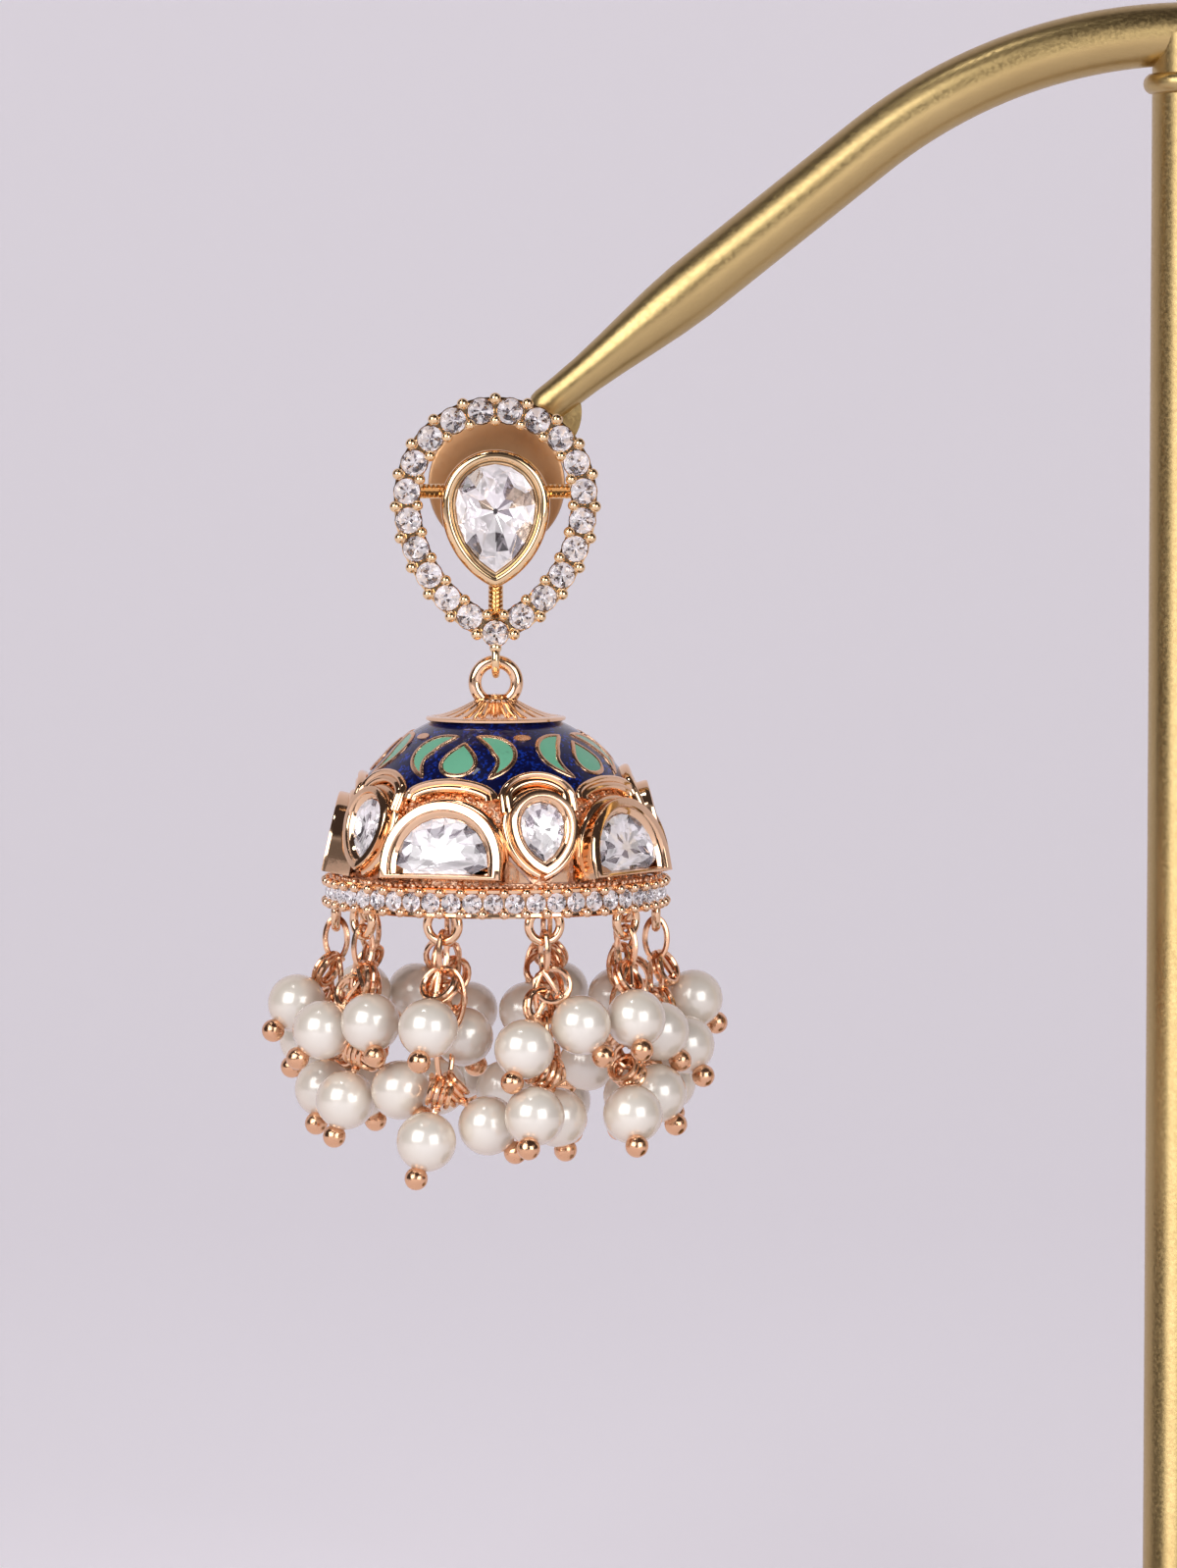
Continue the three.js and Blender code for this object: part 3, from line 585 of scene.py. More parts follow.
# warm foil: painted copper reflection tints, with a faint painted glow.
warm_foil_painted_reflection_and_glow = foil("warm_foil_painted_reflection_and_glow", (0.80, 0.66, 0.54), (0.60, 0.46, 0.36), 0.9, 0.14, 0.05)
clear_crystal = crystal()
blue_enamel = enamel("blue_enamel", (0.0008, 0.0020, 0.032), (0.02, 0.11, 1.0), 0.30, (0.003, 0.006, 0.09))
mint_enamel = enamel("mint_enamel", (0.16, 0.47, 0.30), (0.24, 0.58, 0.40), 0.1)
pearl_coat = pearl()
GEM = [clear_crystal, bright_foil_painted_glow, grey_foil_painted_dark_reflection]
CENTRE_GEM = [clear_crystal, bright_foil_painted_glow, grey_foil_painted_dark_reflection, warm_foil_painted_reflection_and_glow]


# Stand

def arm_path():
    """The arm's centre line: a slope up from the plate, then one bow over the upright."""
    start = Vector((ARM_TIP_OUT - STAND_REACH, 0, POST_HEIGHT + ARM_TIP_UP))
    rise = math.tan(ARM_SLOPE)
    bend_x = (CREST_Z - start.z + start.x * rise) / (rise - math.tan(ARM_SLOPE / 2))
    bow_r = -bend_x / math.sin(ARM_SLOPE)
    path = []
    for k in range(13):
        x = start.x + (bend_x - start.x) * k / 12
        path.append(Vector((x, 0, start.z + (x - start.x) * rise)))
    for k in range(1, 25):
        a = ARM_SLOPE * (1 - k / 24)
        path.append(Vector((-bow_r * math.sin(a), 0, CREST_Z - bow_r * (1 - math.cos(a)))))
    return path + [Vector((ARM_END, 0, CREST_Z))]


def arm():
    path = arm_path()
    radii = []
    for point in path:
        share = min((point - path[0]).length / ARM_TAPER, 1.0)
        radii.append(ARM_TIP_R + (ARM_R - ARM_TIP_R) * (3 - 2 * share) * share ** 2)
    along = (path[1] - path[0]).normalized()
    end = path[0] - along * ARM_TIP_PAST
    for back, share in ((0.0, 1.0), (0.45, 0.94), (0.85, 0.75), (1.1, 0.5), (1.22, 0.2)):
        path.insert(0, end - along * back)
        radii.insert(0, share * ARM_TIP_R)
    for step, share in ((0.25, 0.93), (0.42, 0.8), (0.5, 0.6)):
        path.append(Vector((ARM_END + step, 0, CREST_Z)))
        radii.append(share * ARM_R)
    return tube(path, radii, 32)


def paddle():
    """The round plate behind the stud, with the post's hole."""
    half = PADDLE_DEPTH / 2
    hole = POST_R + HOLE_GAP
    edge = [(PADDLE_R - 0.25, half), (PADDLE_R - 0.07, half - 0.07), (PADDLE_R, half - 0.25)]
    profile = [(hole, half)] + edge + [(r, -y) for r, y in reversed(edge)] + [(hole, -half), (hole, half)]
    return Form().add(lathe(profile, 72), facing(Vector((-STAND_REACH, 0, POST_HEIGHT)), (0, 1, 0)))


def strap():
    """The flat neck folded down from the arm's end to the plate."""
    centre = Vector((-STAND_REACH, 0, POST_HEIGHT))
    turns = smooth_rows([(4.6, 6.2, 0), (4.9, 5.0, 0), (4.6, 3.8, 0), (3.4, 2.2, 0)], 6)
    path = [centre + Vector((p.x, 0, p.y)) for p in turns]
    section = [(-0.3, -0.75), (-0.3, 0.75), (0.3, 0.75), (0.3, -0.75)]
    rings = []
    for point, step in zip(path, headings(path)):
        across = step.normalized().cross(Vector((0, 1, 0)))
        rings.append([point + across * b * 1.25 + Vector((0, a, 0)) for a, b in section])
    return lofted(rings)


def stand():
    whole = Form()
    profile = [(0, 0), (BASE_R - 0.4, 0), (BASE_R, 0.4), (BASE_R, BASE_HEIGHT - BASE_ROUND)]
    for a in (0.4, 0.8, 1.2, 1.57):
        r, z = on_arc(BASE_ROUND, a)
        profile.append((BASE_R - BASE_ROUND + r, BASE_HEIGHT - BASE_ROUND + z))
    profile += [(UPRIGHT_R + 1.0, BASE_HEIGHT), (UPRIGHT_R + 0.3, BASE_HEIGHT + 0.25)]
    profile.append((UPRIGHT_R, BASE_HEIGHT + BASE_ROUND))
    collar_z = CREST_Z - COLLAR_DROP
    swell, half = COLLAR_R - UPRIGHT_R, COLLAR_HEIGHT / 2
    profile.append((UPRIGHT_R, collar_z - half))
    for k in range(9):
        a = math.pi * (k / 8 - 0.5)
        profile.append((UPRIGHT_R + swell * math.cos(a), collar_z + half * math.sin(a)))
    profile += [(UPRIGHT_R, collar_z + half), (UPRIGHT_R, CREST_Z), (0, CREST_Z)]
    whole.add(lathe(profile, 72))
    whole.add(arm())
    whole.add(strap())
    piece("stand", whole, STAND, stand_brass, "stand", "stand_brass", "display_stand")
    # The plate takes the brass with painted shade and a painted gold reflection.
    piece("stand_plate", paddle(), STAND, plate_brass_painted_shade, "stand", "stand_brass", "display_stand")


# Stud

def halo_point(share):
    """The point at a share of the way round the halo's centre line, and its outward direction."""
    sweep = math.acos((HALO_SIDE_R - HALO_R) / HALO_SIDE_R)
    side = HALO_SIDE_R * sweep
    length = 2 * side + math.pi * HALO_R
    along = (share % 1.0) * length
    if along < side:
        a = -sweep + along / HALO_SIDE_R
        centre, r = HALO_R - HALO_SIDE_R, HALO_SIDE_R
    elif along < length - side:
        a = (along - side) / HALO_R
        centre, r = 0.0, HALO_R
    else:
        a = math.pi + (along - length + side) / HALO_SIDE_R
        centre, r = HALO_SIDE_R - HALO_R, HALO_SIDE_R
    out = Vector((math.cos(a), 0, math.sin(a)))
    return Vector((centre, 0, 0)) + out * r, out


def halo_seats():
    """The middles of the halo's stones, the first of them lowered into the tip."""
    seats = [halo_point(i / HALO_STONES)[0] for i in range(HALO_STONES)]
    seats[0].z -= 0.2
    return seats


def halo():
    """The stud's frame, the seat round each stone, and two bead prongs between stones."""
    half = HALO_WIDTH / 2
    front = -HALO_DEPTH / 2
    outer = [(half - 0.3, -front), (half - 0.12, -front - 0.2), (half - 0.12, front + 0.25),
             (half - 0.22, front + 0.18), (half - 0.3, front + 0.55)]
    rings = []
    for offset, y in outer + [(-offset, y) for offset, y in reversed(outer)]:
        rings.append([Vector((x, y, z)) for x, z in pear_outline(HALO_R, HALO_SIDE_R, offset, 24)])
    whole = lofted(rings, loop=True)
    r = HALO_STONE_R
    cup = [(r - 0.1, -1.3), (r + 0.02, -0.5), (r + 0.06, -0.16), (r + 0.01, -0.1), (r - 0.06, -0.2),
           (r - 0.2, -0.6)]
    for at in halo_seats():
        whole.add(lathe(cup, 24), facing(at + Vector((0, front - 0.1, 0)), (0, -1, 0)))
    for i in range(HALO_STONES):
        at, out = halo_point((i + 0.5) / HALO_STONES)
        for offset, radius in ((0.78, 0.40), (-0.72, 0.38)):
            place = facing(at + out * offset + Vector((0, front - 0.42, 0)), (0, -1, 0))
            whole.add(prong(radius, 1.0), place)
    return whole


def halo_stones():
    stones = Form()
    for i, at in enumerate(halo_seats()):
        girdle = at + Vector((0, -HALO_DEPTH / 2 - 0.12, 0))
        stones.add(brilliant(HALO_STONE_R, 17 * i), facing(girdle, (0, -1, 0), 0.37 * i))
    return stones


def pear_bezel():
    """The deep bezel of the centre stone, its rim rolled over."""
    rim = -PEAR_RIM
    layers = [
        (PEAR_WALL - 0.25, PEAR_BACK), (PEAR_WALL - 0.05, PEAR_BACK - 0.2), (PEAR_WALL, rim + 0.55),
        (0.96 * PEAR_WALL, rim + 0.3), (0.84 * PEAR_WALL, rim + 0.12), (0.66 * PEAR_WALL, rim + 0.02),
        (0.48 * PEAR_WALL, rim), (0.36 * PEAR_WALL, rim + 0.06), (0.28 * PEAR_WALL, rim + 0.2),
        (0.24 * PEAR_WALL, rim + 0.3), (0.14 * PEAR_WALL, rim + 0.3), (0.05, rim + 0.42), (0.03, rim + 0.6),
        (-0.02, rim + 1.8),
    ]
    bezel = layered(lambda offset: pear_outline(PEAR_R, PEAR_SIDE_R, offset, 18), layers)
    return Form().add(bezel, Matrix.Translation((0, 0, -PEAR_DROP)))


def stud_bar(start, end):
    """A small square bar with a groove, between the halo and the bezel."""
    along = (end - start).normalized()
    across = along.cross(Vector((0, 1, 0)))
    section = [(-0.5, 0.4), (-0.5, -0.2), (-0.42, -0.36), (-0.24, -0.48), (-0.08, -0.36),
               (0.08, -0.36), (0.24, -0.48), (0.42, -0.36), (0.5, -0.2), (0.5, 0.4)]
    notches = max(int((end - start).length / 0.28), 2)
    rings = []
    for k in range(2 * notches + 1):
        dip = 0.16 if k % 2 else 0.0
        centre = start.lerp(end, k / (2 * notches))
        rings.append([centre + across * a + Vector((0, b + dip * (b < 0), 0)) for a, b in section])
    return lofted(rings)


def stud():
    metalwork = halo()
    metalwork.add(pear_bezel())
    z = POST_RISE - 0.4
    edge = PEAR_R + PEAR_WALL - 0.2
    bezel_tip = -PEAR_DROP - math.sqrt((PEAR_SIDE_R + PEAR_WALL) ** 2 - (PEAR_SIDE_R - PEAR_R) ** 2)
    metalwork.add(stud_bar(Vector((edge, 0, z)), Vector((HALO_R - 0.6, 0, z))))
    metalwork.add(stud_bar(Vector((-edge, 0, z)), Vector((0.6 - HALO_R, 0, z))))
    metalwork.add(stud_bar(Vector((0, 0, bezel_tip + 0.4)), Vector((0, 0, HALO_TIP + 0.95 * HALO_WIDTH))))
    loop = wire_ring(LOOP_R, LOOP_WIRE_R, 48, 14)
    metalwork.add(loop, Matrix.Translation((0, 0, LOOP_Z)) @ Matrix.Rotation(math.pi / 2, 4, 'Z'))
    metalwork.add(ball(0.42), Matrix.Translation((0, -0.75, HALO_TIP - 0.12)))
    post = [(0, 0), (POST_R, 0), (POST_R, POST_LENGTH - 0.8), (0.8 * POST_R, POST_LENGTH - 0.55),
            (POST_R, POST_LENGTH - 0.4), (0.9 * POST_R, POST_LENGTH - 0.15), (0, POST_LENGTH - 0.1)]
    metalwork.add(lathe(post, 20), facing(Vector((0, PEAR_BACK, POST_RISE)), (0, 1, 0)))
    piece("stud_setting", metalwork, STUD, stud_gold, "stand", "gold", "top_setting")
    piece("halo_stones", halo_stones(), STUD, GEM, "stand", "crystal", "top_setting", crease=0)
    outline = pear_outline(PEAR_R, PEAR_SIDE_R, 0.0, 4)
    rows = [(0.08, 0.05, 0.10), (0.34, 0.46, -0.1), (0.66, 0.80, -0.42), (1, 1, -0.72), (1, 1, -0.78),
            (0.74, 0.90, -1.02), (0.52, 0.42, -1.14)]
    stone = cut_gem(outline, (0, -0.5), rows, 0.20, 5)
    # Painted reflection: some bright-foiled facets of the centre stone get the warm foil, as copper tints
    # reflected from the gold.
    bright, warm = 1, 3
    for i, slot in enumerate(stone.slots):
        if slot == bright and scatter(3 * i + 2) < 0.22:
            stone.slots[i] = warm
    gem = Form().add(stone, Matrix.Translation((0, 0, -PEAR_DROP)))
    piece("centre_stone", gem, STUD, CENTRE_GEM, "stand", "crystal", "pear_stone", crease=0)


# Bell

def round_bell(radius, turn, z):
    return Vector((radius * math.sin(turn), -radius * math.cos(turn), z))


def on_sphere(radius, turn, polar):
    flat = math.sin(polar)
    return Vector((flat * math.sin(turn), -flat * math.cos(turn), math.cos(polar))) * radius


def on_wall(turn, tilt, radius):
    """A place on the dome: x to the right, y into the bell, z up along the wall."""
    frame_here = Matrix.Rotation(turn, 4, 'Z') @ Matrix.Rotation(-tilt, 4, 'X')
    out = frame_here.to_3x3() @ Vector((0, -1, 0))
    return Matrix.Translation(out * radius) @ frame_here


def beside(turn, polar, right, up, radius):
    """The point a little to the right of and above a direction from the dome's centre."""
    middle = on_sphere(1.0, turn, polar)
    to_right = Vector((math.cos(turn), math.sin(turn), 0))
    upwards = to_right.cross(middle) * -1
    return (middle * DOME_R + to_right * right + upwards * up).normalized() * radius


# The border's arches: heights as shares of the dome's radius, and half of each one's width in radians
ARCH_FOOT = 0.47
MOON_ARCH_TOP = 0.575
DROP_ARCH_TOP = 0.615
MOON_ARCH_HALF = 0.345
DROP_ARCH_HALF = math.pi / REPEATS - MOON_ARCH_HALF

# How each arch runs on down beside its setting: radians from its middle, and height as such a share
MOON_LEG = [(0.348, 0.45)]
DROP_LEG = [(0.281, 0.445), (0.277, 0.41), (0.272, 0.37)]

CUSP_Z = ARCH_FOOT * DOME_R


def scallop_rows():
    """The arches of the border as (middle turn, half width, top height), half-moons and pears by turns."""
    step = 2 * math.pi / REPEATS
    rows = []
    for i in range(REPEATS):
        rows.append((FIRST_TURN + i * step, MOON_ARCH_HALF, MOON_ARCH_TOP * DOME_R))
        rows.append((FIRST_TURN + (i + 0.5) * step, DROP_ARCH_HALF, DROP_ARCH_TOP * DOME_R))
    return rows


def arch_height(share, top):
    return CUSP_Z + (top - CUSP_Z) * math.sqrt(max(1 - share ** 2, 0.0))


def scallop_turns(per_arch):
    """Turns round the bell with the border's height at each, even along every arch."""
    found = []
    for middle, half, top in scallop_rows():
        for k in range(per_arch):
            share = -math.cos(math.pi * k / per_arch)
            found.append((middle + half * share, arch_height(share, top)))
    return found


def dome_shell():
    """The dome's own wall: rough outside under the settings, smooth inside."""
    outside = DOME_R - 0.42
    inside = DOME_R - DOME_WALL
    turns = round_turn(160)
    rings = []
    for radius, shares in ((outside, range(18)), (inside, range(17, -1, -1))):
        for k in shares:
            polar = 0.02 + (math.acos((BAND_TOP + 0.1) / radius) - 0.02) * k / 17
            rings.append([on_sphere(radius, t, polar) for t in turns])
    return lofted(rings)


def piercings():
    """The cut triangles between the pears' points and the half-moons' corners."""
    cutter = Form()
    step = 2 * math.pi / REPEATS
    for i in range(REPEATS):
        turn = FIRST_TURN + (i + 0.5) * step
        for side in (1, -1):
            corners = [(0.55, 0.2), (2.3, 0.2), (2.3, 2.2)]
            rings = [[Vector((side * x, -r, BAND_TOP + z)) for x, z in corners] for r in (14.0, 7.0)]
            cutter.add(lofted(rings), Matrix.Rotation(turn, 4, 'Z'))
    return cutter


def border():
    """The raised double-ridged edge round the enamel, one arch over each setting."""
    section = [(0.0, -0.5), (0.0, 0.2), (0.06, 0.42), (0.18, 0.55), (0.32, 0.57), (0.45, 0.48), (0.52, 0.36),
               (0.58, 0.38), (0.68, 0.44), (0.85, 0.42), (0.95, 0.32), (1.0, 0.1), (1.0, -0.5)]
    whole = Form()
    for middle, half, top in scallop_rows():
        path = []
        legs = MOON_LEG if half > DROP_ARCH_HALF else DROP_LEG
        for off, z in reversed(legs):
            path.append(on_sphere(DOME_R, middle - off, math.acos(z)))
        for k in range(41):
            share = -1.0 + 2.0 * k / 40
            share = math.copysign(abs(math.sin(share * math.pi / 2)), share)
            z = arch_height(share, top)
            path.append(on_sphere(DOME_R, middle + half * share, math.acos(z / DOME_R)))
        for off, z in legs:
            path.append(on_sphere(DOME_R, middle + off, math.acos(z)))
        whole.add(swept(path, section))
    return whole


def ridges():
    """A rounded ridge on the dome round every bezel, down to the band."""
    section = [(-0.36, -0.5), (-0.36, 0.12), (-0.28, 0.3), (-0.12, 0.4), (0.06, 0.4), (0.22, 0.28),
               (0.3, 0.1), (0.3, -0.5)]
    whole = Form()
    for i in range(REPEATS):
        moon = moon_outline(MOON_WALL + 0.3, 30)[:31]
        drop = pear_outline(DROP_R, DROP_SIDE_R, DROP_WALL + 0.3, 12)
        drop = drop[36:] + drop[:36]
        for outline, place in ((moon, moon_place(i)), (drop, drop_place(i))):
            path = [(place @ Vector((x, 0, z))).normalized() * DOME_R for x, z in outline]
            path = [p for p in path if p.z > BAND_TOP + 0.3]
            whole.add(swept(path, section))
    return whole


def band():
    """The ring under the dome that holds the row of small stones."""
    top, foot = BAND_TOP, BAND_BOTTOM
    outside = BAND_R - 0.3
    inside = BAND_R - BAND_WALL
    profile = [
        (inside, foot + 0.15), (inside + 0.15, foot), (outside - 0.1, foot), (outside + 0.04, foot + 0.12),
        (outside + 0.02, foot + 0.3), (outside - 0.1, foot + 0.4), (outside - 0.5, foot + 0.5),
        (outside - 0.5, top - 0.5), (outside - 0.1, top - 0.4), (outside + 0.02, top - 0.3),
        (outside + 0.04, top - 0.12), (outside - 0.1, top), (DOME_R - 0.6, top + 0.06),
        (inside, top - 0.1), (inside, foot + 0.15),
    ]
    whole = lathe(profile, 160)
    middle = (top + foot) / 2
    for i in range(BAND_STONES):
        turn = 2 * math.pi * (i + 0.5) / BAND_STONES
        for z in (middle + 0.70, middle - 0.70):
            whole.add(prong(0.34, 0.5), facing(round_bell(outside + 0.2, turn, z), round_bell(1, turn, 0)))
    return whole


def band_stones():
    stones = Form()
    for i in range(BAND_STONES):
        turn = 2 * math.pi * i / BAND_STONES
        at = round_bell(BAND_R - 0.3, turn, (BAND_TOP + BAND_BOTTOM) / 2)
        stones.add(brilliant(0.66, 23 * i), facing(at, round_bell(1, turn, 0), 0.61 * i))
    return stones


def cap():
    """The fluted cap with its thin rim and the neck under the ring."""
    sides = CAP_FLUTES * 8
    rings = []
    rim = CAP_RIM_Z + CAP_LIP
    rows = [(CAP_RIM_R - 0.6, CAP_RIM_Z - 0.25, 0), (CAP_RIM_R, rim - 0.22, 0),
            (CAP_RIM_R + 0.02, rim - 0.08, 0), (CAP_RIM_R - 0.06, rim, 0),
            (CAP_RIM_R - 0.35, rim + 0.03, 0), (CAP_RIM_R - 0.5, rim + 0.05, 0.3)]
    for k in range(1, 9):
        share = k / 8
        r = CAP_RIM_R - 0.5 + (CAP_TOP_R - CAP_RIM_R + 0.6) * share
        rows.append((r, rim + 0.05 + (CAP_HEIGHT - CAP_LIP - 0.1) * share ** 1.5, 1.0))
    for r, z, depth in rows:
        ring = []
        for j in range(sides):
            a = 2 * math.pi * j / sides
            groove = 1 - abs(math.sin(CAP_FLUTES * a / 2))
            ring.append(Vector((r * math.cos(a), r * math.sin(a), z - 0.16 * depth * groove ** 2)))
        rings.append(ring)
    whole = lofted(rings)
    neck = [(1.25, -0.35), (1.12, -0.05), (0.9, 0.08), (0.72, 0.3), (0, 0.35)]
    whole.add(lathe([(r, CAP_TOP + z) for r, z in neck], 32))
    ring = wire_ring(RING_R, RING_WIRE_R, 56, 18)
    whole.add(ring, Matrix.Translation((0, 0, RING_Z)))
    return whole


def setting_place(turn, top, foot, rise, stand_off):
    """The place of a bezel that reaches from foot to top, a rise above the band."""
    tilt = math.asin((BAND_TOP + rise + (top - foot) / 2) / DOME_R)
    return on_wall(turn, tilt, DOME_R + stand_off) @ Matrix.Translation((0, 0, -(top + foot) / 2))


def moon_place(i):
    foot = -(MOON_FOOT + MOON_FOOT_SHARE * MOON_WALL)
    turn = FIRST_TURN + 2 * math.pi * i / REPEATS
    return setting_place(turn, MOON_R + MOON_WALL, foot, SETTING_RISE, MOON_STAND)


def drop_place(i):
    tip = -math.sqrt((DROP_SIDE_R + DROP_WALL) ** 2 - (DROP_SIDE_R - DROP_R) ** 2)
    turn = FIRST_TURN + 2 * math.pi * (i + 0.5) / REPEATS
    return setting_place(turn, DROP_R + DROP_WALL, tip, DROP_SETTING_RISE, DROP_STAND)


def wall_bezel(outline, wall, back):
    """A bezel with a flat polished rim, a small step and a slope down to its stone."""
    layers = [
        (wall - 0.06, back), (wall, 0.35), (wall - 0.01, 0.12), (wall - 0.05, 0.03), (wall - 0.14, 0.0),
        (wall * 0.48, -0.01), (wall * 0.42, 0.05), (wall * 0.38, 0.2), (wall * 0.28, 0.23), (wall * 0.2, 0.3),
        (0.03, 0.45), (0.02, 1.2),
    ]
    return layered(outline, layers)


def settings():
    whole = Form()
    back = DOME_WALL - SETTING_SINK
    moon = wall_bezel(lambda offset: moon_outline(offset, 30), MOON_WALL, MOON_STAND + back)
    drop = wall_bezel(lambda offset: pear_outline(DROP_R, DROP_SIDE_R, offset, 12), DROP_WALL,
                      DROP_STAND + back)
    for i in range(REPEATS):
        whole.add(moon, moon_place(i))
        whole.add(drop, drop_place(i))
    return whole


def granules():
    """Small uneven grains that fill the gallery between border, bezels and band."""
    whole = Form()
    golden = math.pi * (3 - math.sqrt(5))
    low, high = BAND_TOP + 0.1, 0.58 * DOME_R
    for i in range(WALL_GRAINS):
        z = low + (high - low) * (i + 0.5) / WALL_GRAINS
        turn = golden * i
        share = scatter(i, shift=0.0)
        radius = 0.13 + 0.13 * share
        if z > border_height(turn) - 0.3 or in_piercing(turn, z):
            continue
        at = on_sphere(DOME_R - 0.42 + 0.08 * share, turn, math.acos(z / DOME_R))
        whole.add(ball(radius, 5, 8), Matrix.Translation(at))
    for i, turn in enumerate(round_turn(BAND_GRAINS)):
        share = scatter(i, rate=78.233, shift=0.0)
        at = round_bell(BAND_R - 0.75 + 0.3 * share, turn, BAND_TOP + 0.05)
        whole.add(ball(0.14 + 0.1 * share, 5, 8), Matrix.Translation(at))
    return whole


def border_height(turn):
    """The border's height at a turn round the bell."""
    for middle, half, top in scallop_rows():
        off = (turn - middle + math.pi) % (2 * math.pi) - math.pi
        if abs(off) <= half:
            return arch_height(off / half, top)
    return CUSP_Z


def in_piercing(turn, z):
    """True where a grain would hang in one of the cut triangles."""
    step = 2 * math.pi / REPEATS
    off = (turn - FIRST_TURN) % step - step / 2
    across = abs(off) * DOME_R
    return 0.4 < across < 2.5 and BAND_TOP < z < BAND_TOP + 0.35 + 1.1 * (across - 0.4)


def drop_rings():
    whole = Form()
    for i in range(STRANDS):
        whole.add(wire_ring(DROP_RING_R, DROP_RING_WIRE_R, 36, 12), strand_place(i, DROP_RING_Z))
    return whole


def wall_stones():
    moon = moon_outline(0.0, 12)
    moon = moon[:13] + moon[14:-1:2]
    drop = pear_outline(DROP_R, DROP_SIDE_R, 0.0, 4)
    moon_rows = [(0.20, 0.14, 0.86), (0.50, 0.38, 0.82), (0.78, 0.70, 0.72), (1, 1, 0.46), (1, 1, 0.40),
                 (0.78, 0.90, 0.24), (0.56, 0.44, 0.10)]
    drop_rows = [(0.16, 0.12, 0.86), (0.44, 0.38, 0.82), (0.74, 0.70, 0.70), (1, 1, 0.44), (1, 1, 0.38),
                 (0.76, 0.88, 0.20), (0.54, 0.46, 0.06)]
    kinds = [
        ("half_moon", moon, (0, 1.0), moon_rows, 7, moon_place),
        ("drop", drop, (0, -0.3), drop_rows, 11, drop_place),
    ]
    for i in range(REPEATS):
        for kind, outline, centre, rows, seed, place in kinds:
            gem = cut_gem(outline, centre, rows, 0.25, seed * i)
            node = f"{kind}_stone_{i + 1}"
            piece(f"{kind}_gem_{i + 1}", gem, BELL @ place(i), GEM, "bell", "crystal", node, crease=0)


def enamel_skin():
    turns = scallop_turns(24)
    top = math.acos(CAP_RIM_Z / DOME_R) + 0.01
    rows = 14
    rings = []
    for radius, shares in ((DOME_R - 0.03, range(rows + 1)), (DOME_R - 0.3, range(rows, -1, -1))):
        for k in shares:
            ring = []
            for turn, z in turns:
                low = math.acos((z - 0.1) / DOME_R)
                ring.append(on_sphere(radius, turn, low + (top - low) * k / rows))
            rings.append(ring)
    return lofted(rings, loop=True)


# Each inlay on the enamel: the spine's points as (right, up) and the half width at each, in millimetres
DROP_INLAY = [
    (0.0, -1.42, 0.0), (0.0, -1.28, 0.66), (0.0, -0.90, 1.06), (0.0, -0.35, 1.20), (0.0, 0.20, 1.02),
    (0.0, 0.75, 0.62), (0.0, 1.15, 0.26), (0.0, 1.45, 0.0),
]
LEAF_INLAY = [
    (-1.25, 1.95, 0.0), (-0.62, 1.60, 0.36), (0.02, 1.14, 0.62), (0.48, 0.50, 0.74), (0.64, -0.18, 0.62),
    (0.48, -0.85, 0.42), (0.08, -1.45, 0.20), (-0.48, -1.98, 0.0),
]
DOT_INLAY = [
    (-0.62, 0.0, 0.0), (-0.5, 0.0, 0.18), (-0.25, 0.0, 0.28), (0.0, 0.0, 0.30), (0.25, 0.0, 0.28),
    (0.5, 0.0, 0.18), (0.62, 0.0, 0.0),
]
INLAY_LIFT = 0.02
DOT_LIFT = 0.06

# Heights of the inlays' middles above the dome's centre, and how far a leaf stands to each side
DROP_INLAY_Z = 7.5
LEAF_INLAY_Z = 7.75
DOT_INLAY_Z = 8.8
LEAF_ASIDE = math.radians(19)


def smooth_rows(rows, steps):
    """Points along a run of rows, by a curve through each of them."""
    found = []
    for i in range(len(rows) - 1):
        a = Vector(rows[max(i - 1, 0)])
        b = Vector(rows[i])
        c = Vector(rows[i + 1])
        d = Vector(rows[min(i + 2, len(rows) - 1)])
        for k in range(steps):
            t = k / steps
            found.append(0.5 * ((2 * b) + (c - a) * t + (2 * a - 5 * b + 4 * c - d) * t ** 2
                                + (3 * b - a - 3 * c + d) * t ** 3))
    return found + [Vector(rows[-1])]


def inlay(rows, turn, polar, flip):
    """The filled shape on the dome and its outline."""
    spine = smooth_rows(rows, 4)
    left, right = [], []
    for i, point in enumerate(spine):
        ahead = spine[min(i + 1, len(spine) - 1)] - spine[max(i - 1, 0)]
        normal = Vector((-ahead.y, ahead.x, 0)).normalized()
        width = max(point.z, 0.0)
        left.append(Vector((point.x, point.y, 0)) + normal * width)
        right.append(Vector((point.x, point.y, 0)) - normal * width)
    rings = []
    for a, b in zip(left, right):
        cross = [a.lerp(b, k / 4) for k in range(5)]
        over = [beside(turn, polar, flip * p.x, p.y, DOME_R + INLAY_LIFT) for p in cross]
        under = [beside(turn, polar, flip * p.x, p.y, DOME_R - 0.2) for p in reversed(cross)]
        rings.append(over + under)
    outline = left[:-1] + list(reversed(right))[:-1]
    path = [beside(turn, polar, flip * p.x, p.y, DOME_R) for p in outline]
    return lofted(rings), path


def motif_places():
    """Each inlay's kind, rows, turn, height and side."""
    found = []
    step = 2 * math.pi / REPEATS
    for i in range(REPEATS):
        turn = FIRST_TURN + i * step
        found.append(("drop", DROP_INLAY, turn, DROP_INLAY_Z, 1))
        found.append(("leaf", LEAF_INLAY, turn + LEAF_ASIDE, LEAF_INLAY_Z, 1))
        found.append(("leaf", LEAF_INLAY, turn - LEAF_ASIDE, LEAF_INLAY_Z, -1))
        found.append(("dot", DOT_INLAY, turn + step / 2, DOT_INLAY_Z, 1))
    return found


